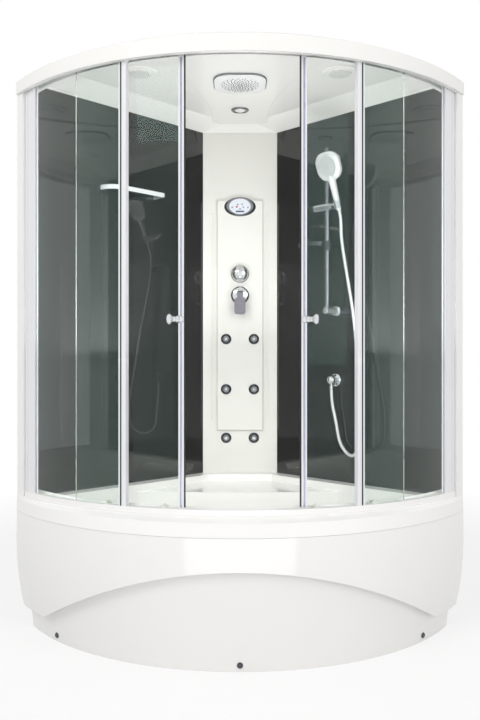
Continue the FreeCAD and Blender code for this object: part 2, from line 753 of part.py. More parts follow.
def make_drain():
    floor = S.basin_floor
    cup = turned("trap_cup", [
        (S.waste_bore - 3, floor + 2.5), (S.waste_flange, floor), (S.waste_bore, floor),
        (S.waste_bore, S.trap_top), (S.trap_cup, S.trap_top), (S.trap_cup, S.trap_bottom),
        (0, S.trap_bottom), (0, S.trap_bottom + 4), (S.trap_cup - 4, S.trap_bottom + 4),
        (S.trap_cup - 4, S.trap_top - 4), (S.waste_bore - 3, S.trap_top - 4)])
    place(cup, 0, S.drain_y, 0)
    pipe = rod("trap_pipe", S.waste_pipe, S.waste_elbow_x - S.trap_cup + 6)
    place(pipe, S.trap_cup - 6, S.drain_y, S.waste_pipe_z, axis=Vector(0, 1, 0), angle=90)
    bore = rod("trap_pipe_bore", S.waste_pipe - 3, S.waste_elbow_x - S.trap_cup + 12)
    place(bore, S.trap_cup - 12, S.drain_y, S.waste_pipe_z, axis=Vector(0, 1, 0), angle=90)
    elbow = turned("trap_elbow", [(0, -S.waste_elbow, S.waste_elbow, "left"),
                                  (0, S.waste_elbow)])
    place(elbow, S.waste_elbow_x, S.drain_y, S.waste_pipe_z)
    nut = rod("trap_nut", S.waste_elbow, S.waste_nut)
    place(nut, S.waste_elbow_x, S.drain_y, S.waste_pipe_z - S.waste_nut)
    drop = rod("trap_drop", S.waste_pipe, S.waste_pipe_z - S.waste_end)
    place(drop, S.waste_elbow_x, S.drain_y, S.waste_end)
    drop_bore = rod("trap_drop_bore", S.waste_pipe - 3,
                    S.waste_pipe_z - S.waste_end + S.waste_pipe - 7 + 5)
    place(drop_bore, S.waste_elbow_x, S.drain_y, S.waste_end - 5)
    bar = block("guide_bar", term(2) - S.waste_bore, S.drain_y - 3, floor - 18,
                S.waste_bore - 2, S.drain_y + 3, floor - 10)
    boss = rod("guide_boss", S.plug_stem + 4, 8)
    place(boss, 0, S.drain_y, floor - 18)
    eye = rod("guide_eye", S.plug_stem + S.fit_play, 12)
    place(eye, 0, S.drain_y, floor - 20)
    trap = cut("drain_trap", fuse("trap_body", [cup, pipe, elbow, nut, drop, bar, boss]),
               group("trap_bores", [bore, drop_bore, eye]))
    finish(trap, "drain_trap")

    plug = turned("drain_plug", [
        (0, floor - 28), (S.plug_stem, floor - 28), (S.plug_stem, floor + 3),
        (S.plug_radius, floor + 3), (S.plug_radius, floor + 5), (S.plug_radius - 12, floor + 8),
        (0, floor + 9)])
    place(plug, 0, S.drain_y, 0)
    finish(plug, "drain_plug")


# ---------------------------------------------------------------- walls

def make_walls():
    glass_back = WALL_IN + S.wall_glass
    edge_run = WALL_OUT + (S.column_half - (INNER_Y - S.column_half)) / root(term(2))
    frames = []
    panes = []
    for label, side in SIDES:
        start = along(side, S.wall_depth)
        end = along(side, S.wall_run)
        bar = S.wall_bar * side
        frame = slab_deep(f"wall_frame_{label}", [
            box(start, S.ledge_top, end, S.wall_top),
            box(start + bar, S.ledge_top + S.wall_bar, end - bar, S.wall_top - S.wall_bar)],
            glass_back, WALL_OUT)
        frames.append(on_wall(frame, side))
        pane = slab_deep(f"wall_pane_{label}", [
            box(along(side, edge_run), S.ledge_top, end, S.wall_top)], WALL_IN, glass_back)
        if side > 0:
            hole = new_sketch(pane, "XZ_Plane", -(glass_back + 1))
            ring(hole, along(side, S.outlet_run), S.outlet_z, S.outlet_shank + 1)
            pocket(pane, hole, S.wall_glass + 2, reverse=True)
        panes.append(on_wall(pane, side))
    finish(group("wall_frames", frames), "wall_frames")
    finish(group("wall_glass", panes), "wall_glass")

    posts = []
    profiles = []
    for label, side in SIDES:
        near = along(side, S.wall_run)
        far = along(side, S.post_run)
        nose = along(side, S.post_nose_run)
        skin = S.post_wall * side
        wall = S.post_wall
        post = slab_up(f"side_post_{label}", [
            [(near, WALL_OUT), (far, WALL_OUT), (far, WALL_IN - S.post_nose),
             (nose, WALL_IN - S.post_nose), (nose, WALL_IN), (near, WALL_IN)],
            [(near + skin, WALL_OUT - wall), (far - skin, WALL_OUT - wall),
             (far - skin, WALL_IN - S.post_nose + wall), (nose + skin, WALL_IN - S.post_nose + wall),
             (nose + skin, WALL_IN + wall), (near + skin, WALL_IN + wall)]],
            S.rim_top, S.post_top)
        posts.append(on_wall(post, side))
        profiles.append(make_side_profile(label, side))
    finish(group("side_posts", posts), "side_posts")
    finish(group("side_profiles", profiles), "side_profiles")


def make_side_profile(label, side):
    """Channel that grips the fixed pane next to the wall, with a shadow groove."""
    low = S.side_profile_start
    high = S.side_profile_end
    body = arc_piece(f"side_profile_{label}", box(S.side_profile_inner, S.rail_top_z,
                                                  S.side_profile_outer, S.head_rail_z),
                     start_of(side, low, high), high - low)
    grip = S.glass_thick / 2 + S.slot_play
    notch(body, side, low, high, low, S.fixed_end + 0.1,
          S.glass_radius - grip, S.glass_radius + grip, S.rail_top_z, S.head_rail_z)
    notch(body, side, low, high, S.groove_angle, S.groove_angle + 0.15,
          S.side_profile_outer - S.groove_depth, S.side_profile_outer + 1,
          S.rail_top_z, S.head_rail_z)
    return body


def notch(body, side, low, high, first, last, inner, outer, z_low, z_high):
    """Cut a stretch of angle out of an arc piece, between two radii."""
    sketch = new_sketch(body, "XZ_Plane")
    if side > 0:
        turn = term(first) - low
    else:
        turn = term(high) - last
    draw(sketch, box(inner, z_low - 1, outer, z_high + 1))
    before = body.Shape.Volume
    sketch.AttachmentOffset = Placement(Vector(0, 0, 0), Rotation(Vector(0, 1, 0), turn.value))
    bind(sketch, AttachmentOffset__Rotation__Angle=turn)
    groove = body.newObject("PartDesign::Groove", body.Name + "_notch")
    groove.Profile = sketch
    groove.ReferenceAxis = (sketch, ["V_Axis"])
    bind(groove, Angle=term(last) - first)
    DOC.recompute()
    if not body.Shape.Volume < before - 1e-3:
        raise RuntimeError(f"a notch of {body.Name} cuts nothing")


# ---------------------------------------------------------------- curved front

def make_rails():
    grip = S.glass_thick / 2 + S.slot_play
    slot_in = S.glass_radius - grip
    slot_out = S.glass_radius + grip
    foot = arc_piece("rail_bottom", [
        (S.rail_inner, S.rim_top), (S.rail_outer, S.rim_top), (S.rail_outer, S.rail_top_z),
        (slot_out, S.rail_top_z), (slot_out, S.glass_slot_z), (slot_in, S.glass_slot_z),
        (slot_in, S.rail_top_z), (S.track_outer, S.rail_top_z), (S.track_outer, S.track_floor),
        (S.track_inner, S.track_floor), (S.track_inner, S.rail_top_z),
        (S.rail_inner, S.rail_top_z)], -S.rail_angle, S.rail_angle * 2)
    finish(foot, "rail_bottom")
    head = arc_piece("rail_top", [
        (S.rail_inner, S.head_rail_z), (S.head_ledge_outer, S.head_rail_z),
        (S.head_ledge_outer, S.head_ledge), (S.track_inner, S.head_ledge),
        (S.track_inner, S.head_chamber), (S.track_outer, S.head_chamber),
        (S.track_outer, S.head_rail_z), (slot_in, S.head_rail_z), (slot_in, S.head_slot_z),
        (slot_out, S.head_slot_z), (slot_out, S.head_rail_z), (S.rail_outer, S.head_rail_z),
        (S.rail_outer, S.head_rail_top), (S.rail_inner, S.head_rail_top)],
        -S.rail_angle, S.rail_angle * 2)
    finish(head, "rail_top")


def make_fixed_panes():
    half = S.glass_thick / 2
    grip = half + S.slot_play
    panes = []
    posts = []
    gaskets = []
    for label, side in SIDES:
        shift = term(S.post_shift) if side > 0 else term(0)
        first = S.fixed_start + shift
        low = S.post_start + shift
        high = S.post_end + shift
        seal = S.gasket_start + shift
        pane = arc_piece(f"fixed_pane_{label}", box(S.glass_radius - half, S.glass_slot_z,
                                                     S.glass_radius + half, S.head_slot_z - 1),
                         start_of(side, first, S.fixed_end), S.fixed_end - first)
        panes.append(pane)
        post = arc_piece(f"fixed_post_{label}", box(S.fixed_post_inner, S.rail_top_z,
                                                    S.fixed_post_outer, S.head_rail_z),
                         start_of(side, low, high), high - low)
        notch(post, side, low, high, first - 0.05, high,
              S.glass_radius - grip, S.glass_radius + grip, S.rail_top_z, S.head_rail_z)
        notch(post, side, low, high, seal, S.gasket_end + shift,
              S.fixed_post_outer - S.groove_depth, S.fixed_post_outer + 1,
              S.rail_top_z, S.head_rail_z)
        posts.append(post)
        gaskets.append(arc_piece(f"fixed_gasket_{label}", box(
            S.fixed_post_outer - S.groove_depth, S.rail_top_z,
            S.fixed_post_outer + S.gasket_proud, S.head_rail_z),
            start_of(side, seal, S.gasket_end + shift), S.gasket_end - S.gasket_start))
    finish(group("fixed_glass", panes), "fixed_glass")
    finish(group("fixed_posts", posts), "fixed_posts")
    finish(group("fixed_gaskets", gaskets), "fixed_gaskets")


def make_doors():
    half = S.glass_thick / 2
    grip = half + S.slot_play / 3
    for label, side in SIDES:
        shift = term(S.strip_shift) if side > 0 else term(0)
        edge = S.door_start + shift
        near = S.strip_start + shift
        far = S.strip_end + shift
        seal = S.seal_start + shift
        pane = arc_piece(f"door_pane_{label}", box(S.door_radius - half, S.door_foot,
                                                   S.door_radius + half, S.door_head),
                         start_of(side, edge, S.door_end), S.door_end - edge)
        holes = []
        wheels = []
        for angle in (S.roller_near, S.roller_far):
            for height, z in roller_heights():
                tool = turned(f"axle_hole_{label}", [
                    (0, -half - 1), (S.axle_radius + 1, -half - 1),
                    (S.axle_radius + 1, half + 1), (0, half + 1)])
                radial(tool, side, angle, S.door_radius, z)
                holes.append(tool)
                wheel = turned(f"roller_{label}_{height}", roller_outline())
                radial(wheel, side, angle, S.roller_inner, z)
                wheels.append(wheel)
        drilled = cut(f"door_glass_{label}", pane, group(f"axle_holes_{label}", holes))
        finish(drilled, f"door_glass_{label}")
        finish(group(f"door_rollers_{label}", wheels), f"door_rollers_{label}")

        inner = S.door_radius - S.strip_half
        outer = S.door_radius + S.strip_half
        low = S.rail_top_z + S.strip_gap
        high = S.head_rail_z - S.strip_gap
        strip = arc_piece(f"door_strip_{label}", box(inner, low, outer, high),
                          start_of(side, near, far), far - near)
        notch(strip, side, near, far, edge - 0.02, far,
              S.door_radius - grip, S.door_radius + grip, low, high)
        finish(strip, f"door_strip_{label}")
        magnet = arc_piece(f"door_seal_{label}", box(S.door_radius - S.seal_half, low,
                                                     S.door_radius + S.seal_half, high),
                           start_of(side, seal, near), near - seal)
        finish(magnet, f"door_seal_{label}")
        make_knob(label, side, outer, far)


def roller_heights():
    return (("low", S.track_floor + S.roller_play + S.roller_radius),
            ("high", S.head_ledge + S.roller_play + S.roller_radius))


def roller_outline():
    """Grooved wheel, axle through the pane and the round cap in front of it."""
    wide = S.roller_width
    hub = S.axle_radius
    back = S.door_radius - S.glass_thick / 2 - S.roller_inner
    face = back + S.glass_thick
    rim = S.roller_radius
    return [(0, 0), (rim, 0), (rim, wide), (hub, wide), (hub, back - 2), (hub + 4, back - 2),
            (hub + 4, back - 0.1), (hub, back - 0.1), (hub, face), (rim, face), (rim, face + 1.5),
            (rim - 3, face + S.cap_reach), (0, face + S.cap_reach)]


def radial(thing, side, angle, radius, z):
    """Set a turned piece with its axis pointing out from the arc centre."""
    angle = term(angle) * side
    turn = Rotation(Vector(0, 0, 1), angle.value) * Rotation(Vector(1, 0, 0), 90)
    place(thing, term(radius) * sine(angle), S.arc_centre_y - term(radius) * cosine(angle), z,
          turn=turn)


def make_knob(label, side, strip_outer, strip_far):
    """Mushroom pull on a turned neck, leaning away from the doorway."""
    head = S.knob_head
    tall = S.knob_length
    knob = turned(f"door_knob_{label}_turned", [
        (0, -12), (10, -12), (14, 0), (9, 7), (8, 10), (11, 13), (8, 17), (8, 20),
        (head * 0.75, tall - 16), (head, tall - 11), (head * 0.9, tall - 5, dome(head * 0.9, 5), "left"),
        (0, tall)])
    angle = (strip_far - S.knob_inset) * side
    lean = S.knob_turn * side
    turn = Rotation(Vector(0, 0, 1), lean.value) * Rotation(Vector(1, 0, 0), 90)
    radius = strip_outer - 1
    place(knob, radius * sine(angle), S.arc_centre_y - radius * cosine(angle), S.knob_z, turn=turn)
    clear = arc_piece(f"knob_seat_{label}", box(S.door_radius - 30, S.knob_z - 40, strip_outer,
                                                S.knob_z + 40), start_of(side, 5, 20), 15)
    finish(cut(f"door_knob_{label}", knob, clear), f"door_knob_{label}")


# ---------------------------------------------------------------- roof

def make_roof():
    body = new_body("roof_shell")
    plane = S.corner_y - S.arc_centre_y
    rim = new_sketch(body, "XY_Plane", S.roof_rim_z)
    draw(rim, sector(S.roof_outer, 0, plane))
    pad(body, rim, S.roof_rim_top - S.roof_rim_z)

    wide = S.roof_outer
    crown_low = S.roof_rim_top - S.roof_crown + root(S.roof_crown * S.roof_crown - wide * wide)
    crown = new_sketch(body, "XZ_Plane", -S.roof_outer * 2)
    draw(crown, [(-wide, crown_low), (-wide, S.roof_rim_top + 20), (wide, S.roof_rim_top + 20),
                 (wide, crown_low, S.roof_crown, "left")])
    pocket(body, crown, S.roof_outer * 4, reverse=True)

    deck = []
    for height, inset, front in ((S.deck_base_z, S.deck_base_inset, S.deck_base_inset),
                                 (S.total_height, S.deck_top_inset, S.deck_front_inset)):
        sketch = new_sketch(body, "XY_Plane", height)
        draw(sketch, sector(S.roof_outer - front, 0, plane - inset * 1.2))
        deck.append(sketch)
    loft(body, deck)

    tray = new_sketch(body, "XY_Plane", S.total_height)
    draw(tray, sector(S.roof_outer - S.deck_front_inset - S.tray_wall, 0,
                      plane - S.deck_top_inset * 1.2 - S.tray_wall * 1.4))
    pocket(body, tray, S.total_height - S.ceiling_z - S.ceiling_thick)

    track = new_sketch(body, "YZ_Plane")
    draw(track, box(-S.rail_outer, S.roof_rim_z - 1, -S.rail_inner, S.head_rail_top))
    spin(body, track, S.rail_angle * 2 + 0.2, middle=True, cut=True)

    room = new_sketch(body, "XY_Plane", S.roof_rim_z)
    draw(room, sector(S.rail_inner, 0, plane + 40))
    pocket(body, room, S.wall_top - S.roof_rim_z, reverse=True)

    cove = []
    inner_plane = INNER_Y - S.arc_centre_y
    for height, radius, edge, back in (
            (S.wall_top, S.rail_inner - 2, inner_plane, S.column_face_y - S.arc_centre_y),
            (S.ceiling_z, S.rail_inner - 30, inner_plane - S.cove_inset,
             S.cove_back_y - S.arc_centre_y)):
        sketch = new_sketch(body, "XY_Plane", height)
        draw(sketch, sector(radius, 0, edge, back))
        cove.append(sketch)
    before = body.Shape.Volume
    loft(body, cove, cut=True)
    if not body.Shape.Volume < before - 1e-3:
        raise RuntimeError("the cove cuts nothing")

    keystone = new_sketch(body, "XY_Plane", S.keystone_z)
    half = S.keystone_half
    front_half = S.keystone_front_half
    front_radius = S.rail_inner - 20
    front_y = -root(front_radius * front_radius - front_half * front_half)
    draw(keystone, [
        (half, S.keystone_straight_y - S.arc_centre_y),
        (half, S.keystone_back_y - S.arc_centre_y),
        (-half, S.keystone_back_y - S.arc_centre_y),
        (-half, S.keystone_straight_y - S.arc_centre_y, S.keystone_flare, "right"),
        (-front_half, front_y, front_radius, "left"),
        (front_half, front_y, S.keystone_flare, "right")])
    pad(body, keystone, S.ceiling_z - S.keystone_z + 1)

    pipes = new_sketch(body, "XY_Plane", S.wall_top)
    ring(pipes, 0, S.riser_y - S.arc_centre_y, S.pipe_hole)
    pocket(body, pipes, S.total_height - S.wall_top, reverse=True)
    feed = new_sketch(body, "XY_Plane", S.keystone_z - 5)
    ring(feed, 0, S.shower_y - S.arc_centre_y, S.pipe_hole)
    pocket(body, feed, S.total_height - S.keystone_z, reverse=True)
    place(body, 0, S.arc_centre_y, 0)
    finish(body, "roof_shell")


def make_ceiling_fittings():
    half = S.shower_half
    turn = S.shower_corner
    side = half - turn
    top = S.keystone_z
    low = top - S.shower_depth
    y = S.shower_y
    shower = slab_up("overhead_shower", [[
        (-side, y - half), (side, y - half, turn, "left"), (half, y - side),
        (half, y + side, turn, "left"), (side, y + half), (-side, y + half, turn, "left"),
        (-half, y + side), (-half, y - side, turn, "left")]], low, top)
    neck = new_sketch(shower, "XY_Plane", top)
    ring(neck, 0, y, S.pipe_radius)
    pad(shower, neck, S.ceiling_z + S.ceiling_thick - top)
    plate = new_sketch(shower, "XY_Plane", low - S.shower_disc_depth)
    ring(plate, 0, y, S.shower_disc)
    pad(shower, plate, S.shower_disc_depth)
    finish(shower, "overhead_shower")

    spot = turned("spotlight_ring", [
        (S.spot_bore, 0), (S.spot_bore, -S.spot_depth + 1), (S.spot_bore + 4, -S.spot_depth),
        (S.spot_radius - 2, -S.spot_depth), (S.spot_radius, -S.spot_depth + 2),
        (S.spot_radius, 0)])
    place(spot, 0, S.spot_y, S.keystone_z)
    finish(spot, "spotlight_ring")
    lens = turned("spotlight_lens", [(0, 0), (0, -1.5), (S.spot_bore, -1.5), (S.spot_bore, 0)])
    place(lens, 0, S.spot_y, S.keystone_z)
    finish(lens, "spotlight_lens")

    discs = []
    for label, side in SIDES:
        step = S.disc_depth + S.disc_step
        disc = turned(f"ceiling_disc_{label}", [
            (0, 0), (S.disc_radius, 0), (S.disc_radius, -2), (S.disc_radius - 6, -S.disc_depth),
            (S.disc_inner + 2, -S.disc_depth), (S.disc_inner, -step), (0, -step)])
        place(disc, S.disc_x * side, S.disc_y, S.ceiling_z)
        discs.append(disc)
    finish(group("ceiling_discs", discs), "ceiling_discs")


# ---------------------------------------------------------------- column

def make_column():
    face = S.column_face_y
    back = face + S.column_thick
    front = face - S.plateau_proud
    half = INNER_Y - face
    rear = INNER_Y - back
    body = slab_up("column_panel", [[(-half, face), (half, face), (rear, back), (-rear, back)]],
                   S.ledge_top, S.wall_top)
    plateau = new_sketch(body, "XZ_Plane", -face)
    draw(plateau, box(-S.plateau_half, S.plateau_low, S.plateau_half, S.plateau_high))
    raised = pad(body, plateau, S.plateau_proud)
    edge_y = front.value

    def on_front(edge):
        return edge.BoundBox.YMax < edge_y + 0.01

    fillet(body, raised, S.plateau_round, on_front)

    skin = S.plateau_skin
    hollow = new_sketch(body, "XZ_Plane", -back)
    draw(hollow, box(-S.plateau_half + skin, S.plateau_low + skin,
                     S.plateau_half - skin, S.plateau_high - skin))
    pocket(body, hollow, back - front - skin, reverse=True)

    flutes = new_sketch(body, "XZ_Plane", -face)
    for side in (-1, 1):
        x = S.flute_x * side
        w = S.flute_width / 2
        draw(flutes, [(x - w, S.flute_low + w), (x - w, S.flute_high - w, w, "right"),
                      (x + w, S.flute_high - w), (x + w, S.flute_low + w, w, "right")])
    pocket(body, flutes, S.flute_depth)

    holes = new_sketch(body, "XZ_Plane", -back)
    ring(holes, 0, S.mixer_z, S.column_hole)
    ring(holes, 0, S.diverter_z, S.column_hole)
    for x, z, _ in jet_places():
        ring(holes, x, z, S.jet_hole)
    pocket(body, holes, back - front + 1, reverse=True)
    finish(body, "column_panel")


def jet_places():
    face = S.column_face_y
    raised = face - S.plateau_proud
    spots = []
    for z, y in ((S.jet_z1, raised), (S.jet_z2, raised), (S.jet_z3, face)):
        for side in (-1, 1):
            spots.append((S.jet_x * side, z, y))
    return spots


FACING_ROOM = Rotation(Vector(1, 0, 0), 90)


def make_column_fittings():
    front = S.column_face_y - S.plateau_proud
    fit = S.fit_play

    rosettes = []
    for name, z, radius in (("mixer_rosette", S.mixer_z, S.mixer_radius),
                            ("diverter_rosette", S.diverter_z, S.diverter_radius)):
        edge = radius + S.rosette_margin
        rosette = turned(name, [
            (S.spindle + fit, 0), (edge, 0), (edge, 2), (edge - 3, S.rosette_depth),
            (S.spindle + fit, S.rosette_depth)])
        place(rosette, 0, front, z, turn=FACING_ROOM)
        rosettes.append(rosette)
    finish(group("valve_rosettes", rosettes), "valve_rosettes")

    reach = S.valve_front_y - 1 - front
    base = S.rosette_depth + S.gap
    top = base + S.mixer_depth
    crest = top + S.mixer_dome
    cap = turned("mixer_dome", [
        (0, -reach), (S.spindle, -reach), (S.spindle, base), (S.mixer_radius, base),
        (S.mixer_radius, top - 5), (S.mixer_radius - 5, top, dome(S.mixer_radius - 5, S.mixer_dome), "left"),
        (0, crest)])
    place(cap, 0, front, S.mixer_z, turn=FACING_ROOM)
    pivot_y = front - crest + S.lever_pivot_in
    slot = block("lever_slot", -S.lever_slot_half, front - crest - 5, S.mixer_z - S.mixer_radius - 5,
                 S.lever_slot_half, pivot_y + S.lever_hub + 1, S.lever_pivot_z + S.lever_hub + 2)
    pin = rod("lever_pivot", S.lever_pin, S.lever_slot_half * 2 + 8)
    place(pin, -S.lever_slot_half - 4, pivot_y, S.lever_pivot_z, axis=Vector(0, 1, 0), angle=90)
    finish(fuse("mixer_cap", [cut("mixer_slotted", cap, slot), pin]), "mixer_cap")

    make_lever(front - crest, pivot_y)

    knob_top = base + 34
    knob = turned("diverter_knob", [
        (0, -reach), (S.spindle, -reach), (S.spindle, base), (S.diverter_radius - 4, base),
        (S.diverter_radius, base + 7), (S.diverter_radius - 3, base + 20,
                                        dome(S.diverter_radius - 3, 14), "left"),
        (0, knob_top)])
    place(knob, 0, front, S.diverter_z, turn=FACING_ROOM)
    finish(knob, "diverter_knob")

    rings = []
    for number, (x, z, y) in enumerate(jet_places(), start=1):
        collar = turned(f"jet_ring{number}", [
            (S.jet_bore, -S.jet_neck_length), (S.jet_neck, -S.jet_neck_length), (S.jet_neck, 0),
            (S.jet_flange, 0), (S.jet_flange, 2.5), (S.jet_flange - 4.5, S.jet_depth),
            (S.jet_bore, S.jet_depth)])
        place(collar, x, y, z, turn=FACING_ROOM)
        rings.append(collar)
        ball = S.jet_ball
        nose = S.jet_depth + 1
        tail = nose - 17
        nose_r = root(ball * ball - (nose + 1) * (nose + 1))
        tail_r = root(ball * ball - (tail + 1) * (tail + 1))
        nozzle = turned(f"jet_nozzle_{number}", [
            (4, tail), (tail_r, tail, ball, "left"), (nose_r, nose), (8, nose), (8, nose - 2),
            (4, nose - 2)])
        place(nozzle, x, y, z, turn=FACING_ROOM)
        finish(nozzle, f"jet_nozzle_{number}")
    finish(group("jet_rings", rings), "jet_rings")


def make_lever(face_y, pivot_y):
    """Wide hanging paddle on a hub that turns on the pin inside the dome."""
    half = S.lever_half
    arm = S.lever_slot_half - S.gap
    corner = half * 0.45
    low = S.lever_low
    high = S.lever_high
    back = face_y - S.gap * 3
    paddle = slab_deep("lever_paddle", [[
        (-half + corner, low), (half - corner, low, corner, "left"), (half, low + corner),
        (half, high - 6), (half - 6, high), (-half + 6, high), (-half, high - 6),
        (-half, low + corner, corner, "left")]], back - S.lever_thick, back)
    shank = block("lever_shank", -arm, back - 3, high - 22, arm, pivot_y, S.lever_pivot_z)
    hub = rod("lever_hub_solid", S.lever_hub, arm * 2)
    place(hub, -arm, pivot_y, S.lever_pivot_z, axis=Vector(0, 1, 0), angle=90)
    bore = rod("lever_bore", S.lever_pin + S.fit_play, arm * 2 + 4)
    place(bore, -arm - 2, pivot_y, S.lever_pivot_z, axis=Vector(0, 1, 0), angle=90)
    finish(cut("mixer_lever", fuse("lever_solid", [paddle, shank, hub]), bore), "mixer_lever")


def oval(name, long_half, short_half, y):
    outline = DOC.addObject("Part::Ellipse", name)
    bind(outline, MajorRadius=long_half, MinorRadius=short_half)
    place(outline, 0, y, S.panel_z, turn=FACING_ROOM)
    return outline


def make_control_panel():
    front = S.column_face_y - S.plateau_proud
    body = DOC.addObject("Part::Loft", "bezel_solid")
    body.Sections = [oval("bezel_back", S.panel_long, S.panel_short, front),
                     oval("bezel_front", S.panel_long - S.panel_taper,
                          S.panel_short - S.panel_taper * 0.7, front - S.panel_depth)]
    body.Solid = True
    body.Ruled = True
    for name, base_y, depth, grow in (("bezel_opening", front + 1, S.panel_depth + 2, 0),
                                      ("display_plate", front, S.display_depth, -S.fit_play)):
        plate = DOC.addObject("Part::Extrusion", name)
        plate.Base = oval(name + "_oval", S.display_long + grow, S.display_short + grow, base_y)
        plate.Solid = True
        plate.DirMode = "Custom"
        plate.Dir = Vector(0, -1, 0)
        bind(plate, LengthFwd=depth)
        if name == "display_plate":
            finish(plate, "control_display")
        else:
            finish(cut("control_bezel", body, plate), "control_bezel")


# Middles of the keys on the display, across and up from the middle of the panel.
KEYS = [(-10.2, 9.2), (9.7, 10.2), (-14.8, -1.8), (15.7, -3.7), (0, -11.5), (-36, -3.7),
        (36.5, -4.6)]


def make_keys():
    face = S.column_face_y - S.plateau_proud - S.display_depth
    keys = []
    for number, (across, up) in enumerate(KEYS, start=1):
        key = turned(f"key_{number}", [(0, 0), (S.key_radius, 0), (S.key_radius, 0.6),
                                       (S.key_radius - 0.8, S.key_proud), (0, S.key_proud)])
        place(key, across, face, S.panel_z + up, turn=FACING_ROOM)
        keys.append(key)
    finish(group("control_keys", keys), "control_keys")


# ---------------------------------------------------------------- services

def make_services():
    valve = block("valve_body", -S.valve_half, S.valve_front_y, S.valve_low,
                  S.valve_half, S.valve_back_y, S.valve_high)
    finish(valve, "valve_body")

    pieces = []
    for side in (-1, 1):
        x = S.pipe_x * side
        riser = rod(f"supply_riser{side + 1}", S.pipe_radius, S.valve_low - S.manifold_high)
        place(riser, x, S.pipe_y, S.manifold_high)
        pieces.append(riser)
        nipple = rod(f"supply_nipple{side + 1}", S.nipple_radius, S.nipple_length)
        place(nipple, S.nipple_x * side, S.pipe_y - 30, S.manifold_low - S.nipple_length)
        pieces.append(nipple)
    pieces.append(block("supply_manifold", -S.nipple_x - 14, S.pipe_y - 45, S.manifold_low,
                        S.nipple_x + 14, S.pipe_y + 10, S.manifold_high))
    lower = fuse("pipes_below", pieces)

    over = S.riser_top
    riser = rod("feed_riser", S.pipe_radius, over - S.valve_high)
    place(riser, 0, S.riser_y, S.valve_high)
    reach = S.riser_y - S.shower_y
    across = rod("feed_across", S.pipe_radius, reach)
    place(across, 0, S.riser_y, over, axis=Vector(1, 0, 0), angle=90)
    down = rod("feed_down", S.pipe_radius, over - S.ceiling_z - S.ceiling_thick)
    place(down, 0, S.shower_y, S.ceiling_z + S.ceiling_thick)
    knees = []
    for number, y in enumerate((S.riser_y, S.shower_y)):
        knee = turned(f"feed_knee{number}", [
            (0, -S.pipe_radius, S.pipe_radius, "left"), (0, S.pipe_radius)])
        place(knee, 0, y, over)
        knees.append(knee)
    upper = fuse("pipes_above", [riser, across, down] + knees)
    finish(group("supply_pipes", [lower, upper]), "supply_pipes")


# ---------------------------------------------------------------- wall fittings

def make_shelf():
    near = along(-1, S.shelf_near)
    far = along(-1, S.shelf_far)
    turn = S.shelf_round
    wall = S.shelf_wall
    reach = S.shelf_reach
    low = S.shelf_z
    bend = far + turn
    gallery = slab_up("shelf_gallery", [[
        (near, WALL_IN), (near, off_wall(reach)), (bend, off_wall(reach), turn, "right"),
        (far, off_wall(reach - turn)), (far, WALL_IN), (far + wall, WALL_IN),
        (far + wall, off_wall(reach - turn), turn - wall, "left"),
        (bend, off_wall(reach - wall)), (near - wall, off_wall(reach - wall)),
        (near - wall, WALL_IN)]], low, low + S.shelf_height)
    finish(on_wall(gallery, -1), "shelf_gallery")
    inner = wall
    pane = slab_up("shelf_glass", [[
        (near - inner, WALL_IN), (near - inner, off_wall(reach - inner)),
        (bend, off_wall(reach - inner), turn - inner, "right"),
        (far + inner, off_wall(reach - turn)), (far + inner, WALL_IN)]],
        low, low + S.shelf_glass_thick)
    finish(on_wall(pane, -1), "shelf_glass")


WALL_RIGHT = Rotation(Vector(0, 0, 1), WALL_TURN[1])


def at_right_wall(thing, run, reach, z, turn=None):
    """Place a piece that was made in the right wall's own directions."""
    x, y = wall_point(1, run, reach)
    place(thing, x, y, z, turn=WALL_RIGHT if turn is None else WALL_RIGHT * turn)
    return thing


OUT_OF_WALL = Rotation(Vector(1, 0, 0), 90)
ALONG_WALL = Rotation(Vector(0, 1, 0), 90)


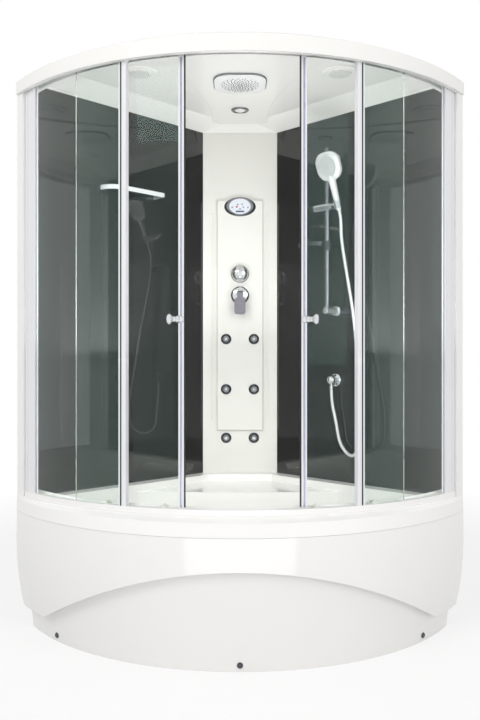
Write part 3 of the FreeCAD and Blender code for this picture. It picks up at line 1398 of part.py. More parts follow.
def make_slider():
    rail = rod("slider_rail", S.slide_radius, S.slide_high - S.slide_low)
    at_right_wall(rail, S.slide_run, S.slide_reach, S.slide_low)
    finish(rail, "slider_rail")

    brackets = []
    for name, z in (("low", S.bracket_low), ("high", S.bracket_high)):
        arm = turned(f"bracket_{name}", [
            (0, 0), (S.bracket_radius + 8, 0), (S.bracket_radius + 8, 4),
            (S.bracket_radius, 8), (S.bracket_radius, S.bracket_reach - 3),
            (S.bracket_radius - 3, S.bracket_reach), (0, S.bracket_reach)])
        at_right_wall(arm, S.slide_run, 0, z, OUT_OF_WALL)
        hole = rod(f"bracket_hole_{name}", S.slide_radius, S.bracket_radius * 2 + 4)
        at_right_wall(hole, S.slide_run, S.slide_reach, z - S.bracket_radius - 2)
        brackets.append(cut(f"bracket_{name}_bored", arm, hole))
    finish(group("slider_brackets", brackets), "slider_brackets")

    carriage = rod("carriage_solid", S.carriage_radius + 1, S.carriage_half * 2)
    at_right_wall(carriage, S.slide_run - S.carriage_half, S.slide_reach, S.carriage_z, ALONG_WALL)
    tools = []
    rail_bore = rod("carriage_bore", S.slide_radius + S.fit_play, S.carriage_radius * 3)
    at_right_wall(rail_bore, S.slide_run, S.slide_reach, S.carriage_z - S.carriage_radius * 1.5)
    tools.append(rail_bore)
    clamp_bore = rod("clamp_bore", S.clamp_stem + S.fit_play, S.carriage_half)
    at_right_wall(clamp_bore, S.slide_run - S.carriage_half, S.slide_reach, S.carriage_z,
                  ALONG_WALL)
    tools.append(clamp_bore)
    holder_bore = rod("holder_bore", S.holder_stem + S.fit_play, S.carriage_half)
    at_right_wall(holder_bore, S.slide_run, S.slide_reach, S.carriage_z, ALONG_WALL)
    tools.append(holder_bore)
    finish(cut("slider_carriage", carriage, fuse("carriage_tools", tools)), "slider_carriage")

    rail_gap = S.slide_radius + 1
    stem = S.carriage_half - rail_gap
    knob = turned("slider_clamp", [
        (0, 0), (S.clamp_stem, 0), (S.clamp_stem, stem + S.gap), (S.carriage_radius, stem + S.gap),
        (S.carriage_radius, stem + S.clamp_length - 4), (S.carriage_radius - 4,
                                                         stem + S.clamp_length),
        (0, stem + S.clamp_length)])
    at_right_wall(knob, S.slide_run - rail_gap, S.slide_reach, S.carriage_z,
                  Rotation(Vector(0, 1, 0), -90))
    finish(knob, "slider_clamp")

    make_handset(rail_gap, stem)
    make_dish()


def make_handset(rail_gap, stem):
    neck_end = S.holder_run - S.slide_run - rail_gap
    arm = turned("holder_arm", [
        (0, 0), (S.holder_stem, 0), (S.holder_stem, stem + S.gap), (S.holder_neck, stem + S.gap),
        (S.holder_neck, neck_end), (0, neck_end)])
    place(arm, -neck_end, 0, 0, turn=ALONG_WALL)
    collar = turned("holder_ring", [
        (0, S.holder_low), (S.holder_ring - 3, S.holder_low), (S.holder_ring, S.holder_high),
        (0, S.holder_high)])
    bore = turned("holder_ring_bore", [
        (0, S.holder_low - 2), (S.holder_bore, S.holder_low - 2),
        (S.holder_bore, S.holder_high + 2), (0, S.holder_high + 2)])
    tilt = Rotation(Vector(1, 0, 0), S.handset_tilt.value)
    holder = cut("handset_holder", fuse("holder_solid", [arm, collar]), bore)
    at_right_wall(holder, S.holder_run, S.slide_reach, S.carriage_z, tilt)
    finish(holder, "handset_holder")

    low = S.holder_low - 2
    handle = turned("handset_handle", [
        (0, S.hand_foot), (S.hand_foot_radius, S.hand_foot), (S.handle_low, low),
        (S.handle_low, S.holder_high), (S.handle_mid, S.handle_mid_z),
        (S.handle_mid + 2, S.handle_top), (0, S.handle_top)])
    face = S.head_front
    back = S.head_back
    head = turned("handset_head", [
        (0, face), (S.head_radius - 6, face), (S.head_radius, face - 6), (S.head_radius, 2),
        (S.head_radius * 0.72, -back), (0, -back - 3)])
    place(head, 0, 0, S.head_centre, turn=FACING_ROOM)
    handset = fuse("handset", [handle, head])
    at_right_wall(handset, S.holder_run, S.slide_reach, S.carriage_z, tilt)
    finish(handset, "handset")


def make_dish():
    clamp = rod("dish_clamp", S.dish_clamp, S.dish_clamp_height)
    at_right_wall(clamp, S.slide_run, S.slide_reach, S.dish_z - S.dish_clamp_height / 2)
    long_half = S.dish_long
    turn = S.dish_round
    flat = long_half - turn
    shapes = []
    for name, inset, low in (("dish_outer", 0, 0), ("dish_inner", S.dish_wall, S.dish_wall)):
        r = turn - inset
        z = S.dish_z + S.dish_clamp_height / 2 - S.dish_depth
        tray = slab_up(name, [[(-flat, -r), (flat, -r, r, "left"), (flat, r),
                               (-flat, r, r, "left")]], low, S.dish_depth + term(inset))
        at_right_wall(tray, S.slide_run - S.dish_offset, S.slide_reach, z)
        shapes.append(tray)
    solid = fuse("dish_solid", [clamp, shapes[0]])
    bore = rod("dish_bore", S.slide_radius, S.dish_clamp_height + 4)
    at_right_wall(bore, S.slide_run, S.slide_reach, S.dish_z - S.dish_clamp_height / 2 - 2)
    finish(cut("soap_dish", solid, group("dish_tools", [shapes[1], bore])), "soap_dish")


def make_outlet():
    ball = S.outlet_ball
    reach = S.outlet_reach
    rosette = turned("outlet_rosette", [
        (0, -18), (S.outlet_shank, -18), (S.outlet_shank, 0), (S.outlet_rosette, 0),
        (S.outlet_rosette, 2), (S.outlet_rosette - 4, S.outlet_depth),
        (ball * 0.8, S.outlet_depth + 2), (ball * 0.8, reach - 6), (0, reach + ball * 0.8)])
    at_right_wall(rosette, S.outlet_run, 0, S.outlet_z, OUT_OF_WALL)
    globe = turned("outlet_globe", [(0, -ball, ball, "left"), (0, ball)])
    at_right_wall(globe, S.outlet_run, reach, S.outlet_z)
    nut = turned("outlet_nut", [
        (0, S.outlet_foot), (S.outlet_nut - 1.5, S.outlet_foot), (S.outlet_nut, S.outlet_foot + 8),
        (S.outlet_nut, S.outlet_foot + 14), (S.outlet_nut - 2, S.outlet_foot + 16),
        (S.outlet_nut - 2, S.outlet_z), (0, S.outlet_z)])
    at_right_wall(nut, S.outlet_run, reach, 0)
    finish(fuse("outlet_elbow", [rosette, globe, nut]), "outlet_elbow")


# Route of the hose from the handset's foot to the outlet's nut: run along the right
# wall from the middle of the cabin, reach off the wall, height.
HOSE_ROUTE = [
    (210.1, 57.8, 1662), (210.1, 43, 1624.9), (203.3, 35.6, 1553.4), (227.2, 35.1, 1422.9),
    (248.9, 39.7, 1335.3), (281.2, 48.5, 1203.3), (304.5, 58.9, 1059.9), (323.8, 70.5, 916.4),
    (335.3, 80.3, 838.5), (339.4, 85.3, 770.1), (331.1, 85.2, 679.4), (304.7, 68.7, 640.1),
    (263.5, 44.6, 625), (219.2, 25.6, 638.7), (183.6, 21.6, 677.2), (167.6, 25.4, 772.1),
    (148.1, 30, 852.1), (148.1, 30, 899),
]


def hose_points():
    """Row-frame points of the route, its ends tied to the handset and the outlet."""
    half = math.sqrt(2)
    points = []
    for run, reach, z in HOSE_ROUTE:
        y = WALL_IN.value - reach
        points.append(Vector((run + y) / half, (y - run) / half, z))
    x, y = wall_point(1, S.holder_run, S.slide_reach + S.hand_foot * sine(S.handset_tilt))
    lean = math.radians(S.handset_tilt.value)
    foot = S.hand_foot.value
    points[0] = Vector(x.value, y.value, S.carriage_z.value + foot * math.cos(lean))
    x, y = wall_point(1, S.holder_run, S.slide_reach + (S.hand_foot - S.hose_lead)
                      * sine(S.handset_tilt))
    points[1] = Vector(x.value, y.value,
                       S.carriage_z.value + (foot - S.hose_lead.value) * math.cos(lean))
    x, y = wall_point(1, S.outlet_run, S.outlet_reach)
    points[-1] = Vector(x.value, y.value, S.outlet_foot.value)
    points[-2] = Vector(x.value, y.value, S.outlet_foot.value - S.hose_drop.value)
    return points


def make_hose():
    """A tube along straight runs joined by tangent arcs."""
    points = hose_points()
    edges = []
    radii = []
    last = points[0]
    for before, corner, after in zip(points, points[1:], points[2:]):
        arrive = corner - before
        leave = after - corner
        short = 0.45 * min(arrive.Length, leave.Length)
        turn = arrive.getAngle(leave)
        radii.append(short / math.tan(turn / 2))
        arrive.normalize()
        leave.normalize()
        first = corner - arrive * short
        end = corner + leave * short
        toward = (leave - arrive).normalize()
        centre = corner + toward * math.hypot(short, radii[-1])
        middle = centre - toward * radii[-1]
        edges.append(Part.LineSegment(last, first).toShape())
        edges.append(Part.Arc(first, middle, end).toShape())
        last = end
    edges.append(Part.LineSegment(last, points[-1]).toShape())
    path = Part.Wire(edges)
    start = (points[1] - points[0]).normalize()
    circle = Part.Wire(Part.makeCircle(S.hose_radius.value, points[0], start))
    tube = path.makePipeShell([circle], True, True)
    feature = DOC.addObject("Part::Feature", "shower_hose")
    feature.Shape = tube
    wanted = math.pi * S.hose_radius.value ** 2 * path.Length
    print(f"hose: length {path.Length:.1f} mm, radii {min(radii):.0f} to {max(radii):.0f} mm,"
          f" volume {tube.Volume / wanted:.4f} of section times length")
    print("hose runs:", [round((b - a).Length) for a, b in zip(points, points[1:])])
    finish(feature, "shower_hose")


# ---------------------------------------------------------------- build and export

make_tub()
make_apron()
make_base()
make_drain()
make_walls()
make_rails()
make_fixed_panes()
make_doors()
make_roof()
make_ceiling_fittings()
make_column()
make_column_fittings()
make_control_panel()
make_keys()
make_services()
make_shelf()
make_slider()
make_outlet()
make_hose()
DOC.recompute()

for item in DOC.Objects:
    if "Invalid" in item.State or "Error" in item.State:
        raise RuntimeError(f"{item.Name} is {item.State}")

os.makedirs("parts", exist_ok=True)
for part in PARTS:
    if part.Shape.isNull() or not part.Shape.isValid():
        raise RuntimeError(f"{part.Label} has no valid shape")
    part.Shape.exportStep(f"parts/{part.Label}.step")
print(f"{len(PARTS)} sub-parts written")
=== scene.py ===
"""Looks of the steam shower cabin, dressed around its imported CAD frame."""

from __future__ import annotations

import logging
import math
from collections.abc import Callable, Sequence
from dataclasses import dataclass
from enum import Enum

import bmesh
import bpy
from mathutils import Matrix, Vector

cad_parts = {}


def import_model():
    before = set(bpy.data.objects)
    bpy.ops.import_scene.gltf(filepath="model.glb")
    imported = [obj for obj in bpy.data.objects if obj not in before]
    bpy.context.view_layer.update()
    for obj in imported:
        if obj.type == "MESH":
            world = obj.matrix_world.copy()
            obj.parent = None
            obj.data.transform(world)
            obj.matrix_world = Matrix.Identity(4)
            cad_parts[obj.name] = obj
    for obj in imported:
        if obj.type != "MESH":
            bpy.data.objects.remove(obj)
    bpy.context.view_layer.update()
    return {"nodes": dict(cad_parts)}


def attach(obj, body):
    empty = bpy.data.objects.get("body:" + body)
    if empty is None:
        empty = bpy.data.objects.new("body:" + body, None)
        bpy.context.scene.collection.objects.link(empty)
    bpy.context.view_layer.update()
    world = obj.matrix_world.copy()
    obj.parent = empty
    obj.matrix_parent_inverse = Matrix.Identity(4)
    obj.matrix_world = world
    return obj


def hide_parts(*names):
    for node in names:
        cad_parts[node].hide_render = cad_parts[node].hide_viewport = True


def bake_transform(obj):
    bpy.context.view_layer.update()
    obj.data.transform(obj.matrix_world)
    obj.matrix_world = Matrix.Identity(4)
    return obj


LOG = logging.getLogger("steam_shower_cabin")
MM = 0.001
ARC_Y = 0.46  # metres: the curved front is drawn round x = 0, y = ARC_Y
TO_FRONT = Matrix.Rotation(math.pi / 2, 4, "X")  # lays what stands on +Z along -Y
WHITE = (1.0, 1.0, 1.0, 1.0)
# Sockets of a Mix node's two colours and of its mixed colour.
MIX_A, MIX_B, MIX_RESULT = 6, 7, 2
Colour = tuple[float, float, float, float]
Point = tuple[float, float, float]
Outline = tuple[tuple[float, float], ...]


def linear(hexadecimal: str) -> Colour:
    """Turn an sRGB hex colour into linear RGBA.

    Args:
        hexadecimal: Colour such as "#F6F5F2".

    Returns:
        Linear red, green, blue and an alpha of 1.
    """
    channels = [int(hexadecimal[i:i + 2], 16) / 255 for i in (1, 3, 5)]
    low = [c / 12.92 if c <= 0.04045 else ((c + 0.055) / 1.055) ** 2.4 for c in channels]
    return (low[0], low[1], low[2], 1.0)


def add_node(tree: bpy.types.NodeTree, kind: str, settings: dict | None = None,
             links: dict | None = None) -> bpy.types.Node:
    """Add a node with its settings and links.

    Args:
        tree: Node tree that gets the node.
        kind: Blender's name of the node type.
        settings: Socket names or numbers, or node properties, with their values.
        links: Socket names or numbers with the output that feeds each.

    Returns:
        The new node.
    """
    node = tree.nodes.new(kind)
    for key, value in (settings or {}).items():
        if isinstance(key, int) or key in node.inputs:
            node.inputs[key].default_value = value
        else:
            setattr(node, key, value)
    for key, source in (links or {}).items():
        tree.links.new(source, node.inputs[key])
    return node


def empty_material(name: str) -> bpy.types.Material:
    """Start a material without nodes.

    Args:
        name: The finish's name.

    Returns:
        The material, with an empty node tree.
    """
    material = bpy.data.materials.new(name)
    material.use_nodes = True
    material.node_tree.nodes.clear()
    return material


class Pattern(Enum):
    """How the fine structure of a surface runs."""

    EVEN = "even"
    HAIRLINE = "hairline"


@dataclass(frozen=True)
class Finish:
    """An opaque finish: a base colour with a slow tone change and a fine grain.

    The sizes of the tone change and the grain are millimetres on the cabin. bump_mm is how
    deep the grain is, and edge_mm is how far the shader rounds the CAD's sharp edges. spread
    is how far the grain moves the roughness either way, and stretch is how many times longer
    than wide a hairline is.
    """

    name: str
    colour: str
    tone: str
    roughness: float
    metallic: float = 0.0
    ior: float = 1.5
    coat: float = 0.0
    tone_mm: float = 300.0
    grain_mm: float = 2.0
    bump_mm: float = 0.0
    spread: float = 0.04
    edge_mm: float = 0.0
    pattern: Pattern = Pattern.EVEN
    stretch: float = 50.0

    def build(self) -> bpy.types.Material:
        """Make the material from procedural nodes on Object coordinates.

        Returns:
            The material.
        """
        material = empty_material(self.name)
        tree = material.node_tree
        place = add_node(tree, "ShaderNodeTexCoord")
        drawn = 1 / self.stretch if self.pattern is Pattern.HAIRLINE else 1.0
        mapped = add_node(tree, "ShaderNodeMapping", {"Scale": (1.0, 1.0, drawn)},
                          {"Vector": place.outputs["Object"]})
        slow = add_node(tree, "ShaderNodeTexNoise",
                        {"Scale": 1000 / self.tone_mm, "Detail": 3.0},
                        {"Vector": place.outputs["Object"]})
        fine = add_node(tree, "ShaderNodeTexNoise",
                        {"Scale": 1000 / self.grain_mm, "Detail": 2.0},
                        {"Vector": mapped.outputs["Vector"]})
        tint = add_node(tree, "ShaderNodeMix",
                        {"data_type": "RGBA", MIX_A: linear(self.colour),
                         MIX_B: linear(self.tone)}, {"Factor": slow.outputs["Fac"]})
        rough = add_node(tree, "ShaderNodeMapRange",
                         {"To Min": max(self.roughness - self.spread, 0.02),
                          "To Max": self.roughness + self.spread},
                         {"Value": fine.outputs["Fac"]})
        shader = add_node(tree, "ShaderNodeBsdfPrincipled",
                          {"Metallic": self.metallic, "IOR": self.ior,
                           "Coat Weight": self.coat, "Coat Roughness": 0.04},
                          {"Base Color": tint.outputs[MIX_RESULT],
                           "Roughness": rough.outputs["Result"]})
        normal = None
        if self.edge_mm:
            edge = add_node(tree, "ShaderNodeBevel",
                            {"samples": 4, "Radius": self.edge_mm * MM})
            normal = edge.outputs["Normal"]
        if self.bump_mm:
            bump = add_node(tree, "ShaderNodeBump",
                            {"Strength": 0.5, "Distance": self.bump_mm * MM},
                            {"Height": fine.outputs["Fac"]})
            if normal is not None:
                tree.links.new(normal, bump.inputs["Normal"])
            normal = bump.outputs["Normal"]
        if normal is not None:
            tree.links.new(normal, shader.inputs["Normal"])
        add_node(tree, "ShaderNodeOutputMaterial", links={"Surface": shader.outputs["BSDF"]})
        return material


@dataclass(frozen=True)
class Grille:
    """A moulded face with rows of small holes, their shade painted as dark dimples.

    pitch_mm is the holes' spacing and hole_mm is their width. blur is how soft their edges
    are, as a share of the spacing.
    """

    name: str
    colour: str
    hole_shade: str
    pitch_mm: float
    hole_mm: float
    blur: float = 0.05

    def build(self) -> bpy.types.Material:
        """Make the material, its holes set out on the XY plane of the cabin.

        Returns:
            The material.
        """
        material = empty_material(self.name)
        tree = material.node_tree
        edge = self.hole_mm / self.pitch_mm / 2
        place = add_node(tree, "ShaderNodeTexCoord")
        grid = add_node(tree, "ShaderNodeVectorMath",
                        {"operation": "SCALE", "Scale": 1000 / self.pitch_mm},
                        {0: place.outputs["Object"]})
        cell = add_node(tree, "ShaderNodeVectorMath", {"operation": "FRACTION"},
                        {0: grid.outputs["Vector"]})
        flat = add_node(tree, "ShaderNodeVectorMath", {"operation": "MULTIPLY", 1: (1, 1, 0)},
                        {0: cell.outputs["Vector"]})
        away = add_node(tree, "ShaderNodeVectorMath", {"operation": "DISTANCE",
                                                       1: (0.5, 0.5, 0)},
                        {0: flat.outputs["Vector"]})
        inside = add_node(tree, "ShaderNodeMapRange",
                          {"From Min": edge + self.blur, "From Max": edge - self.blur},
                          {"Value": away.outputs["Value"]})
        # Painted shade: the holes are darker dots in the colour, not openings.
        tint = add_node(tree, "ShaderNodeMix",
                        {"data_type": "RGBA", MIX_A: linear(self.colour),
                         MIX_B: linear(self.hole_shade)}, {"Factor": inside.outputs["Result"]})
        shader = add_node(tree, "ShaderNodeBsdfPrincipled", {"Roughness": 0.35},
                          {"Base Color": tint.outputs[MIX_RESULT]})
        add_node(tree, "ShaderNodeOutputMaterial", links={"Surface": shader.outputs["BSDF"]})
        return material


@dataclass(frozen=True)
class Glass:
    """Clear sheet glass: its colour, the tint of its shadow and the tint of its gloss."""

    name: str
    colour: str
    shade: str
    glint: str = "#FFFFFF"
    roughness: float = 0.01
    ior: float = 1.45

    def build(self) -> bpy.types.Material:
        """Make the glass, with its shadow rays passed on in the shade's colour.

        Returns:
            The material.
        """
        material = empty_material(self.name)
        tree = material.node_tree
        shader = add_node(tree, "ShaderNodeBsdfPrincipled",
                          {"Base Color": linear(self.colour), "Roughness": self.roughness,
                           "IOR": self.ior, "Transmission Weight": 1.0,
                           "Specular Tint": linear(self.glint)})
        clear = add_node(tree, "ShaderNodeBsdfTransparent", {"Color": linear(self.shade)})
        path = add_node(tree, "ShaderNodeLightPath")
        mixed = add_node(tree, "ShaderNodeMixShader",
                         links={0: path.outputs["Is Shadow Ray"], 1: shader.outputs["BSDF"],
                                2: clear.outputs["BSDF"]})
        add_node(tree, "ShaderNodeOutputMaterial", links={"Surface": mixed.outputs["Shader"]})
        return material


FINISHES: dict[str, Finish | Glass | Grille] = {
    # Vacuum-formed acrylic sheet: a hard even gloss over a faintly warm white.
    "acrylic": Finish("Vacuum_formed_white_acrylic", "#FBFAF8", "#F8F7F4", 0.12, ior=1.49,
                      coat=0.3, grain_mm=8, spread=0.02, edge_mm=2.5),
    # The column's sheet is the tub's acrylic darkened a little: painted shade for the dimmer
    # light inside the cabin.
    "column": Finish("Column_acrylic_painted_shade", "#E8E7E2", "#E5E4DF", 0.14, ior=1.49,
                     coat=0.3, grain_mm=8, spread=0.02, edge_mm=2.5),
    # The roof is moulded with a softer sheen.
    "moulding": Finish("Satin_white_ABS_moulding", "#FBFAF7", "#F7F6F3", 0.25, grain_mm=3,
                       bump_mm=0.02, edge_mm=3),
    # Powder coat: very fine orange peel, slightly cool white.
    "profile": Finish("White_powder_coated_aluminium", "#F3F3F6", "#EDEDF1", 0.3, grain_mm=1.5,
                      bump_mm=0.02, edge_mm=1.5),
    "rail": Finish("Gloss_white_powder_coat", "#FBFAF9", "#F7F6F5", 0.25, grain_mm=1.5,
                   bump_mm=0.02, edge_mm=1.5),
    # Extruded aluminium as it leaves the die, with fine drawn lines.
    "mill": Finish("Mill_finish_aluminium", "#C9CBCD", "#BBBDC0", 0.35, metallic=1.0,
                   grain_mm=0.8, pattern=Pattern.HAIRLINE, spread=0.08),
    # A cool grey line with a soft streak down the white door edge: painted shade standing in for
    # the shading on the strip's rounded front.
    "strip_line_shade": Finish("Grey_strip_line_painted_shade", "#B9BCCB", "#AEB1C2", 0.28, metallic=0.9,
                       grain_mm=0.8, pattern=Pattern.HAIRLINE, spread=0.06),
    # Chrome plate: near mirror, with the faint haze of polishing.
    "chrome": Finish("Polished_chrome_plate", "#E6E7EA", "#DADCDF", 0.08, metallic=1.0,
                     tone_mm=40, grain_mm=3, spread=0.03),
    # Wound steel band under a thin plate: its many edges blur the mirror, and a white base, only
    # partly metal, paints a pale sheen over it.
    "hose_chrome": Finish("Chromed_spiral_steel_painted_sheen", "#F6F7F8", "#ECEDEF", 0.24, metallic=0.6,
                          tone_mm=60, grain_mm=2, spread=0.05),
    # Chrome of the jets' rings and the apron's screws, its colour darkened as painted reflection
    # of the dark surroundings it mirrors.
    "jet_chrome": Finish("Chrome_jet_ring_painted_dark_reflection", "#5A5E63", "#4E5257", 0.08, metallic=1.0,
                         tone_mm=12, grain_mm=2, spread=0.02),
    # Chrome plate over moulded plastic, its base whitened and only partly metal: painted
    # reflection of the white surroundings it mirrors.
    "bright_chrome": Finish("Chrome_plated_ABS_painted_white_reflection", "#FAFAFB", "#F2F3F5", 0.12,
                            metallic=0.35, coat=0.4, tone_mm=60, grain_mm=3, spread=0.02),
    # Deeper mirror of the small fittings on the column.
    "dark_chrome": Finish("Polished_black_tinted_chrome", "#A3A2AA", "#85848D", 0.06,
                          metallic=1.0, tone_mm=12, grain_mm=2, spread=0.02),
    # Fine-blasted before plating: a soft grey metal.
    "satin": Finish("Satin_chrome_plate", "#9A9CA2", "#8A8C92", 0.22, metallic=1.0,
                    tone_mm=30, grain_mm=1, spread=0.05),
    # Plated zinc castings of the slider, lighter than the satin rail: their pale, partly
    # non-metal base is painted highlight for the bright edges they show.
    "cast_chrome": Finish("Chrome_plated_zinc_casting_painted_highlight", "#CED0D5", "#BEC0C6", 0.2,
                          metallic=0.75, tone_mm=20, grain_mm=2, spread=0.04),
    # Float glass enamelled black on its back: a deep mirror with hardly any grain.
    "dark_glass": Finish("Back_painted_dark_glass", "#2D2C2C", "#2B2B2B", 0.03, ior=1.75,
                         grain_mm=40, spread=0.005),
    # Extruded rubber, matt with a fine skin.
    "gasket": Finish("Black_EPDM_gasket", "#202021", "#18181A", 0.55, grain_mm=0.6,
                     bump_mm=0.05),
    # Hot-dip zinc: cloudy spangle over grey steel.
    "galvanised": Finish("Galvanised_steel_tube", "#B4B8BA", "#9EA3A6", 0.42, metallic=1.0,
                         tone_mm=15, grain_mm=4, spread=0.1),
    # Sheet steel brushed one way.
    "case": Finish("Brushed_stainless_case", "#C2C3C4", "#B2B4B5", 0.3, metallic=1.0,
                   grain_mm=0.6, pattern=Pattern.HAIRLINE, spread=0.1),
    # Sand-cast and left bright: warm, slightly pitted.
    "brass": Finish("Cast_brass", "#B9995A", "#A78847", 0.35, metallic=1.0, tone_mm=20,
                    grain_mm=1.5, bump_mm=0.05, spread=0.08),
    # Drawn tube, gone a little dull in the air.
    "copper": Finish("Drawn_copper_tube", "#B87A55", "#9E6444", 0.3, metallic=1.0, tone_mm=60,
                     grain_mm=2, spread=0.08),
    # Moulded with a fine spark-eroded texture.
    "grey_plastic": Finish("Moulded_grey_ABS", "#8B8D90", "#818386", 0.4, grain_mm=0.8,
                           bump_mm=0.02),
    # Clear acrylic printed pale on its back, under a hard gloss.
    "display": Finish("Pale_acrylic_display_face", "#E9EDF3", "#DCE2EC", 0.08, ior=1.49,
                      coat=0.5, tone_mm=60),
    # Smoky window of the liquid crystal cell.
    "lcd": Finish("Dark_LCD_window", "#5B6675", "#4C5665", 0.1, ior=1.49, coat=0.5, tone_mm=20),
    # Silicone rubber keys, matt and slightly blue.
    "key": Finish("Slate_rubber_keys", "#8F97A6", "#7F8797", 0.35, grain_mm=0.6),
    "red_key": Finish("Red_rubber_key", "#C0483F", "#AE3C35", 0.35, grain_mm=0.6),
    # Sand-blasted polycarbonate that scatters the lamp.
    "lens": Finish("Frosted_polycarbonate_lens", "#F8F8F4", "#F0F0EA", 0.3, grain_mm=1),
    # Transparent grey styrene, moulded thick enough to look nearly black.
    "smoked": Finish("Smoked_styrene", "#33383A", "#2B2F31", 0.1, ior=1.57, grain_mm=5),
    # Turned nylon: waxy and off-white.
    "nylon": Finish("White_nylon_rollers", "#E9E8E2", "#DEDDD6", 0.4, grain_mm=0.8),
    # Soft silicone tips, dull and dark.
    "nozzle": Finish("Grey_silicone_nozzles", "#3F4144", "#38393C", 0.5, grain_mm=0.5),
    # Injection-moulded faces of the two showers: high gloss, and a softer pale one.
    "white_face": Finish("Gloss_white_ABS_face", "#F8F9FA", "#F2F3F4", 0.15, grain_mm=1.5),
    "pale_face": Finish("Pale_grey_ABS_spray_face", "#F1F3F4", "#E9ECED", 0.25, grain_mm=1.5),
    # Moulded disc pierced in rows, 6.5 mm apart so that the holes show; their shade is painted
    # as darker dots.
    "grille": Grille("Pierced_white_ABS_grille", "#F4F4F1", "#6F716F", 6.5, 3.2),
    # Toughened 6 mm glass: nearly clear, with the sea-green glint of its coating.
    "pane": Glass("Curved_safety_glass", "#F9FDFB", "#FDFEFD", "#B8E8DE", ior=1.25),
    # Plain float glass, greener through its edge.
    "shelf": Glass("Clear_float_glass_shelf", "#E9F3F0", "#E9F3F0"),
}

# The CAD nodes that wear each finish, and the same by node.
WORN_BY: dict[str, tuple[str, ...]] = {
    "acrylic": ("tub_shell", "apron_panel"),
    "jet_chrome": ("apron_screws", "jet_rings"),
    "galvanised": ("base_frame", "levelling_feet"),
    "case": ("steam_generator",),
    "grey_plastic": ("drain_trap", *(f"jet_nozzle_{n}" for n in range(1, 7))),
    "chrome": ("drain_plug", "spotlight_ring", "valve_rosettes", "outlet_elbow", "mixer_cap",
               "diverter_knob", "handset_holder", "handset", "door_knob_left",
               "door_knob_right"),
    "mill": ("wall_frames",),
    "dark_glass": ("wall_glass",),
    "gasket": ("door_seal_left", "door_seal_right", "fixed_gaskets"),
    "rail": ("side_posts", "rail_bottom", "rail_top"),
    "profile": ("side_profiles", "fixed_posts", "shelf_gallery", "door_strip_left",
                "door_strip_right"),
    "pane": ("fixed_glass", "door_glass_left", "door_glass_right"),
    "moulding": ("roof_shell", "ceiling_discs"),
    "white_face": ("overhead_shower",),
    "lens": ("spotlight_lens",),
    "column": ("column_panel",),
    "satin": ("control_bezel", "slider_rail"),
    "display": ("control_display",),
    "key": ("control_keys",),
    "brass": ("valve_body",),
    "copper": ("supply_pipes",),
    "shelf": ("shelf_glass",),
    "cast_chrome": ("slider_brackets", "slider_carriage", "slider_clamp"),
    "smoked": ("soap_dish",),
    "dark_chrome": ("mixer_lever",),
    "nylon": ("door_rollers_left", "door_rollers_right"),
}
DRESS: dict[str, str] = {node: key for key, nodes in WORN_BY.items() for node in nodes}


class Palette:
    """Builds each finish once and hands it out."""

    def __init__(self) -> None:
        """Start with nothing built."""
        self._built: dict[str, bpy.types.Material] = {}

    def get(self, key: str) -> bpy.types.Material:
        """Give the material of a finish, built on first use.

        Args:
            key: The finish's key in FINISHES.

        Returns:
            The material.
        """
        if key not in self._built:
            self._built[key] = FINISHES[key].build()
        return self._built[key]

    def dress(self, piece: bpy.types.Object, key: str) -> None:
        """Give a piece one finish all over."""
        piece.data.materials.clear()
        piece.data.materials.append(self.get(key))


def deselect() -> None:
    """Leave edit mode and deselect everything."""
    if bpy.context.object is not None and bpy.context.object.mode != "OBJECT":
        bpy.ops.object.mode_set(mode="OBJECT")
    bpy.ops.object.select_all(action="DESELECT")


def pick(piece: bpy.types.Object) -> None:
    """Select one piece alone and make it the active one.

    Args:
        piece: The piece.
    """
    deselect()
    piece.select_set(True)
    bpy.context.view_layer.objects.active = piece


def select(piece: bpy.types.Object, test: Callable[[Vector, Vector], bool],
           mode: str = "FACE") -> None:
    """Select the faces or edges of a piece in edit mode that pass a test.

    Args:
        piece: The piece in edit mode.
        test: Says from a centre and a direction, the face's normal or the edge's
            direction, whether the face or edge is wanted.
        mode: "FACE" or "EDGE".
    """
    bpy.ops.mesh.select_mode(type=mode)
    bpy.ops.mesh.select_all(action="DESELECT")
    mesh = bmesh.from_edit_mesh(piece.data)
    if mode == "FACE":
        for face in mesh.faces:
            face.select_set(test(face.calc_center_median(), face.normal))
    else:
        for edge in mesh.edges:
            first, last = (vertex.co for vertex in edge.verts)
            edge.select_set(test((first + last) / 2, (last - first).normalized()))
    mesh.select_flush_mode()
    bmesh.update_edit_mesh(piece.data)


def slab(name: str, size: Point, corner: float, rim: float,
         axis: int = 2, steps: int = 8) -> bpy.types.Object:
    """Shape a rounded slab from a cube: corners along one axis, then both rims.

    Args:
        name: The piece's name.
        size: Full sizes in metres.
        corner: Radius of the four corners seen along the axis.
        rim: Radius of the edges round both faces.
        axis: 0, 1 or 2 for the axis the slab is seen along.
        steps: Facets of each corner.

    Returns:
        The slab, centred on the origin.
    """
    deselect()
    bpy.ops.mesh.primitive_cube_add(size=1)
    piece = bpy.context.object
    piece.name = piece.data.name = name
    bpy.ops.object.mode_set(mode="EDIT")
    bpy.ops.transform.resize(value=size)
    select(piece, lambda centre, along: abs(along[axis]) > 0.9, "EDGE")
    bpy.ops.mesh.bevel(offset=corner, segments=steps, profile=0.5)
    face = size[axis] / 2
    select(piece, lambda centre, along: abs(abs(centre[axis]) - face) < 1e-6
           and abs(along[axis]) < 0.1, "EDGE")
    bpy.ops.mesh.bevel(offset=rim, segments=3, profile=0.5)
    bpy.ops.object.mode_set(mode="OBJECT")
    return piece


